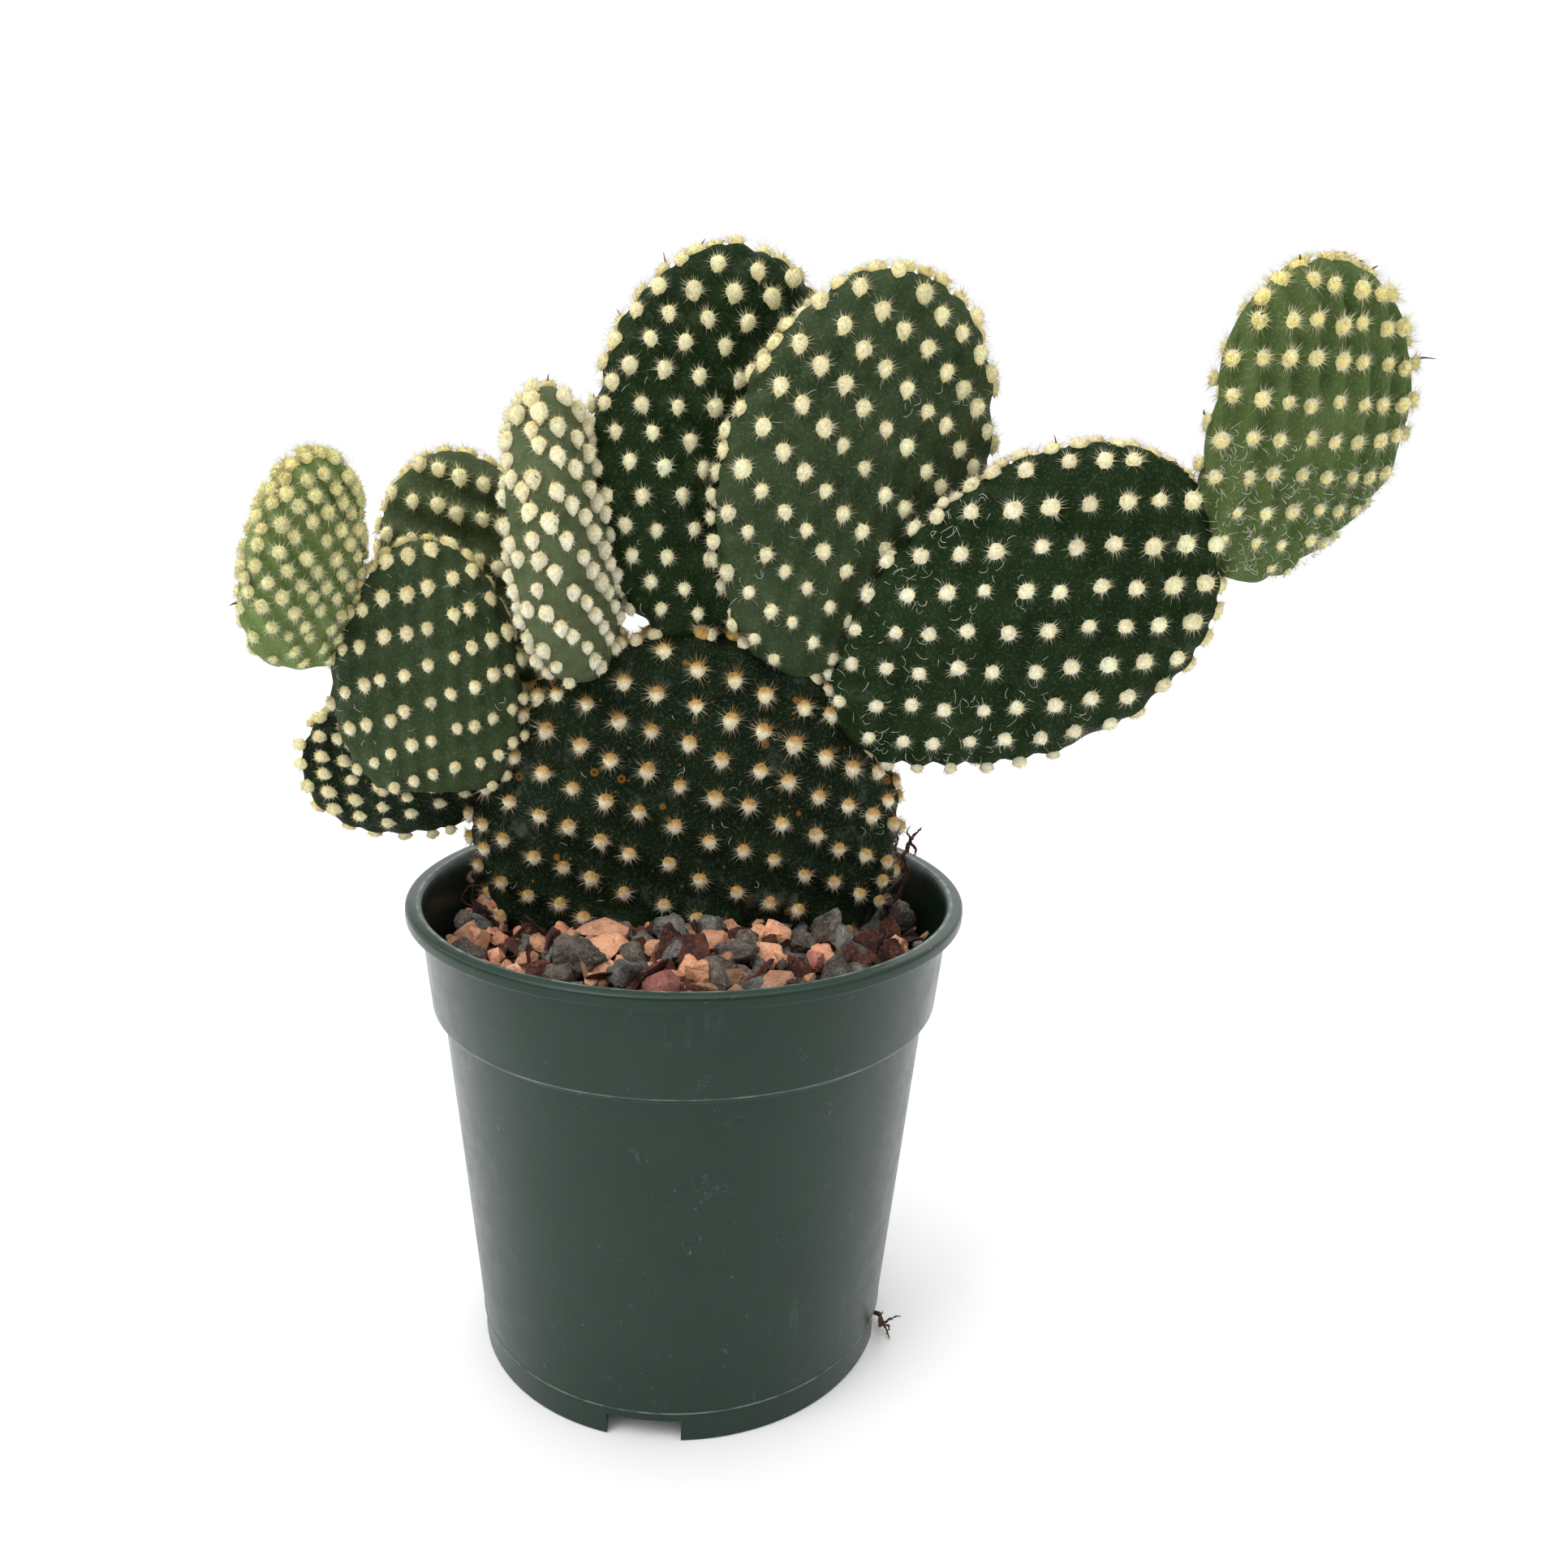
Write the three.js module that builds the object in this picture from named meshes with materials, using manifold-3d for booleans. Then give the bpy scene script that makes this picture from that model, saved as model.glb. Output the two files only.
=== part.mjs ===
// A paddle cactus growing in a round nursery pot, in millimetres, +Z up.
// The pot is a thin moulded shell with drain notches in its foot. It holds potting mix, a top
// dressing of stones and bark chips, and the cactus: a main pad rooted in the mix, with nine
// younger pads budding from its rim or from the rim of another pad.
import * as THREE from 'three';
import { mergeVertices } from 'three/addons/utils/BufferGeometryUtils.js';
import Module from 'manifold-3d';

const wasm = await Module();
wasm.setup();

// ---- Driving dimensions ----

// Space between two pieces that touch.
const GAP = 0.3;

// Pot. Radii are of the outer surface.
const POT_HEIGHT = 94;
const LIP_RADIUS = 54;
const LIP_DEPTH = 2.4;
const LIP_OVERHANG = 2.6;
const LIP_FILLET = 0.7;
const COLLAR_DEPTH = 17.5;
const COLLAR_TAPER = 1.7;
const COLLAR_STEP = 2.0;
const BODY_TAPER = 5.9;
const FOOT_HEIGHT = 6.2;
const FOOT_STEP = 0.3;
const WALL = 1.1;
const FLOOR_CLEARANCE = 2.8;
const FLOOR_THICKNESS = 1.2;
const POT_SEGMENTS = 60;

// Drain notches, cut through the foot and the edge of the floor.
const NOTCH_COUNT = 4;
const NOTCH_WIDTH = 14;
const NOTCH_HEIGHT = 4.3;
const NOTCH_REACH = 7.5;
const FIRST_NOTCH_DEG = -10;

// Potting mix: its depth below the lip at the wall, and how far it rises to the middle.
const SOIL_BELOW_LIP = 13.5;
const SOIL_CROWN = 6.0;
const SOIL_RINGS = 6;

// Pads: how a cross-section and an edge are rounded, and how finely they are faceted.
const EDGE_ROUNDNESS = 0.75;
const FACE_ROUNDNESS = 0.9;
const END_ROUNDNESS = 0.6;
const PAD_RINGS = 13;
const PAD_SIDES = 20;

// The main pad stands with its base buried this far below the pot's lip.
const MAIN_BURIED = 27.5;
const MAIN_SIDEWAYS = -3.8;

// Each pad has a length, width and thickness. taper is how much wider the base end is than the
// tip, fullness how bluntly the outline leaves its ends, and bow a bend of the outline to the
// right. lean tilts the tip to the right, tip tilts it to the front, and turn swings the left
// edge to the front, all in degrees. A seat is a point on the parent's rim, on its right (1)
// or left (-1) side, at an angle from base (0) to tip (180), and the shift of the new pad's
// base from it.
const PADS = [
  {
    name: 'main_pad',
    length: 77, width: 82, thickness: 16, taper: 0.02, fullness: 1.0, bow: 0,
    lean: 5.5, tip: 0, turn: 0,
  },
  {
    name: 'top_back_pad',
    length: 73, width: 48.5, thickness: 12, taper: 0.07, fullness: 1.07, bow: 0,
    lean: 7, tip: -6, turn: 15,
    seat: { on: 'main_pad', side: 1, angle: 180, shift: [-2.5, 2.2, -2.6] },
  },
  {
    name: 'top_front_pad',
    length: 74, width: 50, thickness: 12, taper: 0.0, fullness: 0.98, bow: -1.8,
    lean: 13, tip: 3, turn: 18,
    seat: { on: 'main_pad', side: 1, angle: 152, shift: [0, 0, -1.2] },
  },
  {
    name: 'right_pad',
    length: 75.5, width: 52.5, thickness: 13, taper: 0.2, fullness: 1.07, bow: 0.4,
    lean: 55.6, tip: 8, turn: 8,
    seat: { on: 'main_pad', side: 1, angle: 136, shift: [-2.6, -4.5, -2.4] },
  },
  {
    name: 'far_right_pad',
    length: 54.5, width: 47, thickness: 11, taper: 0.21, fullness: 1.11, bow: 4.4,
    lean: 11.3, tip: 5, turn: 25,
    seat: { on: 'right_pad', side: 1, angle: 156, shift: [4.6, 1.4, -0.4] },
  },
  {
    name: 'edge_on_pad',
    length: 52, width: 27.5, thickness: 13, taper: -0.38, fullness: 0.93, bow: -1,
    lean: -7.8, tip: 0, turn: 72,
    seat: { on: 'main_pad', side: -1, angle: 144, shift: [1.9, -5, -2.6] },
  },
  {
    name: 'left_back_pad',
    length: 56, width: 31.5, thickness: 11, taper: 0.07, fullness: 0.98, bow: -0.6,
    lean: -13.5, tip: -13, turn: 10,
    seat: { on: 'main_pad', side: -1, angle: 116, shift: [0.5, 3, -3.4] },
  },
  {
    name: 'left_front_pad',
    length: 46, width: 32.5, thickness: 12, taper: -0.21, fullness: 0.87, bow: -0.9,
    lean: -1.7, tip: -2, turn: 10,
    seat: { on: 'main_pad', side: -1, angle: 96, shift: [-5.8, -6.8, 0.9] },
  },
  {
    name: 'low_left_pad',
    length: 39, width: 24.5, thickness: 11, taper: 0.2, fullness: 0.95, bow: 0,
    lean: -82.5, tip: -4, turn: 0,
    seat: { on: 'main_pad', side: -1, angle: 98, shift: [4.2, 2.4, -0.8] },
  },
  {
    name: 'far_left_pad',
    length: 36, width: 23.5, thickness: 11, taper: -0.26, fullness: 0.63, bow: -2,
    lean: 7.4, tip: 0, turn: 62,
    seat: { on: 'left_front_pad', side: -1, angle: 94, shift: [-4.6, -2.4, 0.7] },
  },
];

// Stones and chips laid by hand in front of the main pad and beside it: where each one's middle
// is, as shares of the potting mix's radius, its width, depth and height in millimetres, and how
// far it is turned in degrees.
const LAID_STONES = [
  { kind: 'peach_stone', x: -0.335, y: -0.255, size: [10.8, 7, 6.4], turn: 10 },
  { kind: 'peach_stone', x: -0.81, y: -0.185, size: [5, 5, 6], turn: 30 },
  { kind: 'peach_stone', x: -0.605, y: -0.42, size: [5.4, 5, 4.6], turn: 70 },
  { kind: 'peach_stone', x: 0.03, y: -0.605, size: [5, 5, 6], turn: 20 },
  { kind: 'peach_stone', x: 0.335, y: -0.43, size: [6.8, 5, 3.6], turn: -15 },
  { kind: 'peach_stone', x: 0.315, y: -0.255, size: [6.4, 5, 4.2], turn: 35 },
  { kind: 'peach_stone', x: 0.83, y: -0.215, size: [4.4, 5, 5.4], turn: 50 },
  { kind: 'lava_stone', x: -0.39, y: -0.48, size: [11, 8, 8], turn: -8 },
  { kind: 'lava_stone', x: 0.185, y: -0.42, size: [8.4, 7, 5.8], turn: 12 },
  { kind: 'lava_stone', x: 0.54, y: -0.215, size: [7.4, 6, 8], turn: 80 },
  { kind: 'lava_stone', x: 0.89, y: 0.05, size: [8, 8, 8], turn: 25 },
  { kind: 'lava_stone', x: -0.89, y: 0.04, size: [7.2, 6.5, 6.4], turn: 40 },
  { kind: 'lava_stone', x: 0.44, y: -0.295, size: [6, 5, 4.6], turn: 5 },
  { kind: 'slate_stone', x: -0.215, y: -0.625, size: [8.8, 7, 6.4], turn: 15 },
  { kind: 'slate_stone', x: -0.06, y: -0.255, size: [7, 6, 6.4], turn: 0 },
  { kind: 'slate_stone', x: 0.08, y: -0.235, size: [7.4, 5.5, 5.6], turn: -20 },
  { kind: 'slate_stone', x: -0.05, y: -0.43, size: [5.4, 5, 4.6], turn: 60 },
  { kind: 'slate_stone', x: 0.635, y: -0.48, size: [7.6, 5, 4], turn: 30 },
  { kind: 'bark_chip', x: -0.645, y: -0.265, size: [8, 4.5, 4.2], turn: -30 },
  { kind: 'bark_chip', x: -0.52, y: -0.295, size: [8.4, 4, 6.4], turn: 55 },
  { kind: 'bark_chip', x: 0.695, y: -0.285, size: [9.8, 5, 8], turn: 40 },
  { kind: 'bark_chip', x: 0.42, y: -0.66, size: [9.8, 5, 4.2], turn: 15 },
  { kind: 'red_stone', x: 0.48, y: -0.44, size: [4, 4, 4.4], turn: 0 },
  { kind: 'wood_chip', x: 0.175, y: -0.585, size: [7.4, 3.6, 4], turn: 25 },
];

// Stones behind the main pad, spread along arcs. A radius is a share of the potting mix's.
// Kinds follow one another in turn.
const BACK_KINDS = ['lava_stone', 'peach_stone', 'slate_stone', 'bark_chip', 'lava_stone'];
const BACK_RINGS = [
  { radius: 0.4, from: 40, to: 140, count: 5 },
  { radius: 0.635, from: 22, to: 158, count: 7 },
  { radius: 0.88, from: 18, to: 198, count: 8 },
];
const BACK_SIZE = [7.2, 6, 5.6];

// Dry roots: one curled over the stones at the left, a twig at the back right, and one that
// curls up out of the drain notch on the right. The points of a root on top are shares of the
// potting mix's radius and heights above the mix. Those of one below are shares of the foot's
// radius and heights above the ground.
const ROOT_SIDES = 6;
const TOP_ROOTS = [
  {
    name: 'curled_root', radius: 0.5, steps: 14,
    path: [[-0.9, 0.22, 9], [-0.94, 0.29, 9.8], [-0.91, 0.37, 10.6], [-0.85, 0.4, 9.6], [-0.8, 0.47, 8.2]],
  },
  {
    name: 'dry_twig', radius: 0.6, steps: 12,
    path: [[0.78, 0.18, 6], [0.87, 0.23, 10.5], [0.94, 0.27, 15.5], [1, 0.31, 20.5]],
  },
];
const DRAIN_ROOTS = [
  {
    name: 'drain_root', radius: 0.45, steps: 14,
    path: [[0.92, -0.16, 2.2], [1.02, -0.18, 2.2], [1.07, -0.19, 5], [1.08, -0.18, 8], [1.14, -0.19, 10.5]],
  },
];

// ---- Solids ----

function toSolid(geometry) {
  const bare = geometry.clone();
  bare.deleteAttribute('normal');
  bare.deleteAttribute('uv');
  const merged = mergeVertices(bare, 1e-4);
  const triVerts = new Uint32Array(merged.index.array);
  const vertProperties = new Float32Array(merged.attributes.position.array);
  return new wasm.Manifold(new wasm.Mesh({ numProp: 3, vertProperties, triVerts }));
}

function toGeometry(solid) {
  const { vertProperties, triVerts } = solid.getMesh();
  const geometry = new THREE.BufferGeometry();
  geometry.setAttribute('position', new THREE.BufferAttribute(vertProperties, 3));
  geometry.setIndex(new THREE.BufferAttribute(triVerts, 1));
  return geometry;
}

// A closed profile of (radius, height) points turned about the pot's axis.
function turned(profile) {
  const points = profile.map(([radius, height]) => new THREE.Vector2(radius, height));
  return new THREE.LatheGeometry(points, POT_SEGMENTS).rotateX(Math.PI / 2);
}

function signedPower(value, exponent) {
  return Math.sign(value) * Math.abs(value) ** exponent;
}

// ---- Pot ----

const collarTopRadius = LIP_RADIUS - LIP_OVERHANG;
const collarBottomRadius = collarTopRadius - COLLAR_TAPER;
const bodyTopRadius = collarBottomRadius - COLLAR_STEP;
const bodyBottomRadius = bodyTopRadius - BODY_TAPER;
const footRadius = bodyBottomRadius - FOOT_STEP;
const lipUnderside = POT_HEIGHT - LIP_DEPTH;
const collarBottom = lipUnderside - COLLAR_DEPTH;
const bodyTop = collarBottom - COLLAR_STEP;
const floorTop = FLOOR_CLEARANCE + FLOOR_THICKNESS;

// The outer surface's radius at a height, as a straight taper between two heights.
function taperedRadius(height) {
  if (height >= collarBottom) {
    const share = (height - collarBottom) / COLLAR_DEPTH;
    return THREE.MathUtils.lerp(collarBottomRadius, collarTopRadius, share);
  }
  const share = (height - FOOT_HEIGHT) / (bodyTop - FOOT_HEIGHT);
  return THREE.MathUtils.lerp(bodyBottomRadius, bodyTopRadius, share);
}

function potSolid() {
  const lipInner = collarTopRadius - WALL + LIP_FILLET;
  const outside = [
    [footRadius - WALL, 0],
    [footRadius, 0],
    [footRadius, FOOT_HEIGHT - FOOT_STEP],
    [bodyBottomRadius, FOOT_HEIGHT],
    [bodyTopRadius, bodyTop],
    [bodyTopRadius + 0.7 * COLLAR_STEP, bodyTop + 0.3 * COLLAR_STEP],
    [collarBottomRadius, collarBottom],
    [collarTopRadius, lipUnderside],
    [LIP_RADIUS - LIP_FILLET / 2, lipUnderside],
    [LIP_RADIUS, lipUnderside + LIP_FILLET / 2],
    [LIP_RADIUS, POT_HEIGHT - LIP_FILLET],
    [LIP_RADIUS - LIP_FILLET, POT_HEIGHT],
  ];
  const inside = [
    [lipInner, POT_HEIGHT],
    [collarTopRadius - WALL, POT_HEIGHT - LIP_FILLET],
    [collarTopRadius - WALL, lipUnderside],
    [collarBottomRadius - WALL, collarBottom + WALL / 2],
    [bodyTopRadius - WALL, bodyTop - WALL / 2],
    [taperedRadius(floorTop) - WALL, floorTop],
    [0, floorTop],
    [0, FLOOR_CLEARANCE],
    [footRadius - WALL, FLOOR_CLEARANCE],
    [footRadius - WALL, 0],
  ];
  let pot = toSolid(turned([...outside, ...inside]));
  for (let i = 0; i < NOTCH_COUNT; i += 1) {
    pot = pot.subtract(notchSolid(FIRST_NOTCH_DEG + (360 / NOTCH_COUNT) * i));
  }
  return pot;
}

// A block through the foot and the floor's edge, at an angle from the front towards the right.
function notchSolid(degrees) {
  const depth = NOTCH_REACH + FOOT_HEIGHT;
  const block = new THREE.BoxGeometry(NOTCH_WIDTH, depth, 2 * NOTCH_HEIGHT);
  block.translate(0, -(footRadius - NOTCH_REACH + depth / 2), 0);
  block.rotateZ(THREE.MathUtils.degToRad(degrees));
  return toSolid(block);
}

// The ring that the collar and lip take up, with a gap round it.
function rimRoom() {
  const inner = collarTopRadius - WALL - GAP;
  return toSolid(turned([
    [inner, collarBottom],
    [LIP_RADIUS + GAP, collarBottom],
    [LIP_RADIUS + GAP, POT_HEIGHT + GAP],
    [inner, POT_HEIGHT + GAP],
    [inner, collarBottom],
  ]));
}

// ---- Potting mix ----

const soilRadius = taperedRadius(POT_HEIGHT - SOIL_BELOW_LIP) - WALL - GAP;

// Height of the mix at a distance from the pot's axis: a low dome.
function soilHeight(radius) {
  const share = Math.min(radius / soilRadius, 1);
  return POT_HEIGHT - SOIL_BELOW_LIP + SOIL_CROWN * (1 - share * share);
}

function soilSolid() {
  const bottom = floorTop + GAP;
  const profile = [
    [0, bottom],
    [taperedRadius(bottom) - WALL - GAP, bottom],
    [bodyTopRadius - WALL - GAP, bodyTop - WALL / 2],
    [collarBottomRadius - WALL - GAP, collarBottom + WALL / 2],
  ];
  for (let i = SOIL_RINGS; i >= 0; i -= 1) {
    const radius = (soilRadius * i) / SOIL_RINGS;
    profile.push([radius, soilHeight(radius)]);
  }
  return toSolid(turned(profile));
}

// ---- Pads ----

// How wide the outline is at an angle from base (0) to tip (pi), as a share of its widest.
function outlineShare(pad, angle) {
  const widthAt = (a) => Math.sin(a) ** pad.fullness * (1 - pad.taper * Math.cos(a));
  let widest = 0;
  for (let step = 1; step < 60; step += 1) {
    widest = Math.max(widest, widthAt((Math.PI * step) / 60));
  }
  return widthAt(angle) / widest;
}

// A point on the pad's skin, from its base at the origin up +Z, before it is tilted.
// angle runs from base to tip, around runs about the pad, and grow adds a skin of that depth.
function padPoint(pad, angle, around, grow) {
  const halfWidth = (pad.width / 2 + grow) * outlineShare(pad, angle);
  const halfThickness = (pad.thickness / 2 + grow) * Math.sin(angle) ** END_ROUNDNESS;
  return new THREE.Vector3(
    halfWidth * signedPower(Math.cos(around), EDGE_ROUNDNESS) + pad.bow * Math.sin(angle) ** 2,
    halfThickness * signedPower(Math.sin(around), FACE_ROUNDNESS),
    ((pad.length + 2 * grow) * (1 - Math.cos(angle))) / 2 - grow,
  );
}

const padsByName = new Map(PADS.map((pad) => [pad.name, pad]));

// Where a pad stands: its base point and its tilt.
function padPlace(pad) {
  const turn = new THREE.Euler(
    THREE.MathUtils.degToRad(pad.tip),
    THREE.MathUtils.degToRad(pad.lean),
    THREE.MathUtils.degToRad(pad.turn),
    'YXZ',
  );
  const place = new THREE.Matrix4().makeRotationFromEuler(turn);
  if (!pad.seat) {
    return place.setPosition(MAIN_SIDEWAYS, 0, POT_HEIGHT - MAIN_BURIED);
  }
  const parent = padsByName.get(pad.seat.on);
  const around = pad.seat.side > 0 ? 0 : Math.PI;
  const rim = padPoint(parent, THREE.MathUtils.degToRad(pad.seat.angle), around, 0);
  rim.applyMatrix4(padPlace(parent));
  return place.setPosition(rim.add(new THREE.Vector3(...pad.seat.shift)));
}

function padSolid(pad, grow = 0) {
  const positions = [];
  const push = (angle, around) => positions.push(...padPoint(pad, angle, around, grow).toArray());
  push(0, 0);
  for (let ring = 1; ring < PAD_RINGS; ring += 1) {
    for (let side = 0; side < PAD_SIDES; side += 1) {
      push((Math.PI * ring) / PAD_RINGS, (2 * Math.PI * side) / PAD_SIDES);
    }
  }
  push(Math.PI, 0);
  const vertex = (ring, side) => 1 + (ring - 1) * PAD_SIDES + (side % PAD_SIDES);
  const tipVertex = 1 + (PAD_RINGS - 1) * PAD_SIDES;
  const index = [];
  for (let side = 0; side < PAD_SIDES; side += 1) {
    index.push(0, vertex(1, side + 1), vertex(1, side));
    for (let ring = 1; ring < PAD_RINGS - 1; ring += 1) {
      const [a, b] = [vertex(ring, side), vertex(ring, side + 1)];
      const [c, d] = [vertex(ring + 1, side), vertex(ring + 1, side + 1)];
      index.push(a, b, d, a, d, c);
    }
    index.push(tipVertex, vertex(PAD_RINGS - 1, side), vertex(PAD_RINGS - 1, side + 1));
  }
  const geometry = new THREE.BufferGeometry();
  geometry.setAttribute('position', new THREE.Float32BufferAttribute(positions, 3));
  geometry.setIndex(index);
  return toSolid(geometry.applyMatrix4(padPlace(pad)));
}

// ---- Stones and chips ----

// An angular pebble: a twelve-sided form, pulled about by slow waves so that no two are alike.
function stoneGeometry(stone, number) {
  const geometry = new THREE.DodecahedronGeometry(0.5);
  const point = new THREE.Vector3();
  const position = geometry.attributes.position;
  for (let i = 0; i < position.count; i += 1) {
    point.fromBufferAttribute(position, i);
    const wave = Math.sin(5 * point.x + 2.1 * number) + Math.cos(4 * point.y + 6 * point.z + number);
    point.multiplyScalar(1 + 0.07 * wave);
    position.setXYZ(i, point.x, point.y, point.z);
  }
  geometry.scale(...stone.size);
  geometry.rotateX(0.25 * Math.sin(3.3 * number));
  geometry.rotateZ(THREE.MathUtils.degToRad(stone.turn));
  geometry.translate(stone.x * soilRadius, stone.y * soilRadius, 0);
  return geometry;
}

// The pebble lowered until its nearest corner is a gap above the potting mix.
function restedStone(stone, number) {
  const geometry = stoneGeometry(stone, number);
  const position = geometry.attributes.position;
  let rise = -Infinity;
  for (let i = 0; i < position.count; i += 1) {
    const radius = Math.hypot(position.getX(i), position.getY(i));
    rise = Math.max(rise, soilHeight(radius) + GAP - position.getZ(i));
  }
  return toSolid(geometry.translate(0, 0, rise));
}

function backStones() {
  const stones = [];
  for (const ring of BACK_RINGS) {
    for (let i = 0; i < ring.count; i += 1) {
      const degrees = ring.from + ((ring.to - ring.from) * i) / (ring.count - 1);
      const angle = THREE.MathUtils.degToRad(degrees);
      stones.push({
        kind: BACK_KINDS[stones.length % BACK_KINDS.length],
        x: ring.radius * Math.cos(angle),
        y: ring.radius * Math.sin(angle),
        size: BACK_SIZE,
        turn: 37 * stones.length,
      });
    }
  }
  return stones;
}

// ---- Roots ----

// A thin round rod through points given as shares of a radius and heights above a surface.
function rootSolid(root, radius, surfaceHeight) {
  const points = root.path.map(([x, y, height]) => {
    const base = surfaceHeight(radius * Math.hypot(x, y));
    return new THREE.Vector3(radius * x, radius * y, base + height);
  });
  const path = new THREE.CatmullRomCurve3(points);
  const section = new THREE.Shape();
  for (let side = 0; side < ROOT_SIDES; side += 1) {
    const angle = (2 * Math.PI * side) / ROOT_SIDES;
    const corner = [root.radius * Math.cos(angle), root.radius * Math.sin(angle)];
    if (side === 0) section.moveTo(...corner);
    else section.lineTo(...corner);
  }
  return toSolid(new THREE.ExtrudeGeometry(section, { extrudePath: path, steps: root.steps }));
}

// ---- Materials ----

const finish = (color, roughness) => ({ color, roughness, metalness: 0 });
const FINISHES = {
  pot: finish(0x3a5147, 0.45),
  potting_mix: finish(0x3b2f28, 1),
  grown_pad: finish(0x33443b, 0.75),
  young_pad: finish(0x5c7a4a, 0.75),
  peach_stone: finish(0xcf9c80, 0.95),
  lava_stone: finish(0x6d625b, 0.95),
  slate_stone: finish(0x5d6468, 0.9),
  red_stone: finish(0xa4605a, 0.95),
  bark_chip: finish(0x3f2c28, 0.9),
  wood_chip: finish(0x8a674a, 0.9),
  dry_root: finish(0x6a5138, 0.9),
};
const YOUNG_PADS = ['far_right_pad', 'far_left_pad'];

// ---- Assembly ----

const plant = new THREE.Group();

function addPiece(name, solid, finishName) {
  const material = new THREE.MeshStandardMaterial(FINISHES[finishName]);
  const mesh = new THREE.Mesh(toGeometry(solid), material);
  mesh.name = name;
  plant.add(mesh);
}

const mainPad = padsByName.get('main_pad');
addPiece('pot', potSolid(), 'pot');
addPiece('potting_mix', soilSolid().subtract(padSolid(mainPad, GAP)), 'potting_mix');

// A pad is cut back from the pot's rim and from every pad before it in the list, which keeps a
// gap where two meet.
for (const [order, pad] of PADS.entries()) {
  let solid = padSolid(pad).subtract(rimRoom());
  for (const earlier of PADS.slice(0, order)) {
    solid = solid.subtract(padSolid(earlier, GAP));
  }
  addPiece(pad.name, solid, YOUNG_PADS.includes(pad.name) ? 'young_pad' : 'grown_pad');
}

// A stone is cut back from the main pad, and then from each stone that was laid before it.
const numberOfKind = {};
let taken = padSolid(mainPad, GAP);
for (const [order, stone] of [...LAID_STONES, ...backStones()].entries()) {
  const solid = restedStone(stone, order);
  const grown = toSolid(stoneGeometry({ ...stone, size: stone.size.map((s) => s + 2 * GAP) }, order));
  numberOfKind[stone.kind] = (numberOfKind[stone.kind] ?? 0) + 1;
  addPiece(`${stone.kind}_${numberOfKind[stone.kind]}`, solid.subtract(taken), stone.kind);
  taken = taken.add(grown.translate([0, 0, solid.boundingBox().min[2] - grown.boundingBox().min[2] - GAP]));
}

for (const root of TOP_ROOTS) {
  addPiece(root.name, rootSolid(root, soilRadius, soilHeight), 'dry_root');
}
for (const root of DRAIN_ROOTS) {
  addPiece(root.name, rootSolid(root, footRadius, () => 0), 'dry_root');
}

// The part's origin is the middle of its footprint, on the surface that the pot stands on.
const bounds = new THREE.Box3().setFromObject(plant);
const middle = bounds.getCenter(new THREE.Vector3());
plant.position.set(-middle.x, -middle.y, -bounds.min.z);

export default plant;
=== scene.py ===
import math

import bmesh
import bpy
import numpy as np
from mathutils import Matrix, Vector


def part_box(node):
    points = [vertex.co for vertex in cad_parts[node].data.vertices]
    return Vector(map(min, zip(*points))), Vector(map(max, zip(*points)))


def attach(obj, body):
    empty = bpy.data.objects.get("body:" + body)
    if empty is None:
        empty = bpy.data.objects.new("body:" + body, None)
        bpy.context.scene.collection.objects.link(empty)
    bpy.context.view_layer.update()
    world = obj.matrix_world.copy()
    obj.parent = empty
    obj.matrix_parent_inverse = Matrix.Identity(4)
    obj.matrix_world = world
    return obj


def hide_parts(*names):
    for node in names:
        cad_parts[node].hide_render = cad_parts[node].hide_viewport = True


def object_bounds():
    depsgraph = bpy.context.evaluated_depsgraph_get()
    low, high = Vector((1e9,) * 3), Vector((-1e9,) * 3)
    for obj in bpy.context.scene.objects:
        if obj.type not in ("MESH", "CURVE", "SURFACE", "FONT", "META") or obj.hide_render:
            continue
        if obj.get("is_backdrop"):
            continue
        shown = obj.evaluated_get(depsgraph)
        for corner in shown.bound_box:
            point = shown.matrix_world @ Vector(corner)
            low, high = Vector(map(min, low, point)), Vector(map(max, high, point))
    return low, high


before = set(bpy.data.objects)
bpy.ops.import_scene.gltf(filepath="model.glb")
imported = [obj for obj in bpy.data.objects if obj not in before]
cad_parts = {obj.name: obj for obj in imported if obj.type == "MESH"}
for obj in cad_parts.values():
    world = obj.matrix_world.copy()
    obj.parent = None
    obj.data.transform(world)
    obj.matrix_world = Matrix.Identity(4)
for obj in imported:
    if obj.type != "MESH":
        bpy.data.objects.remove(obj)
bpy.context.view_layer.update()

# ---- Camera ----
# The camera stands a little above the plant and just left of its middle, tilted down on the pot.
# Its place is measured from the foot of the pot's axis, and its lens is for a 36 mm sensor.

MM = 0.001
CAMERA_BACK = 233.65 * MM
CAMERA_UP = 174.44 * MM
CAMERA_PITCH = math.radians(14.24)
CAMERA_YAW = math.radians(4.485)
CAMERA_ROLL = math.radians(1.81)
CAMERA_LENS = 28.4
CAMERA_SENSOR = 36

pot_low, pot_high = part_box("pot")
POT_FOOT = Vector(((pot_low.x + pot_high.x) / 2, (pot_low.y + pot_high.y) / 2, pot_low.z))
POT_HEIGHT = pot_high.z - pot_low.z
LIP_RADIUS = (pot_high.x - pot_low.x) / 2


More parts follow.
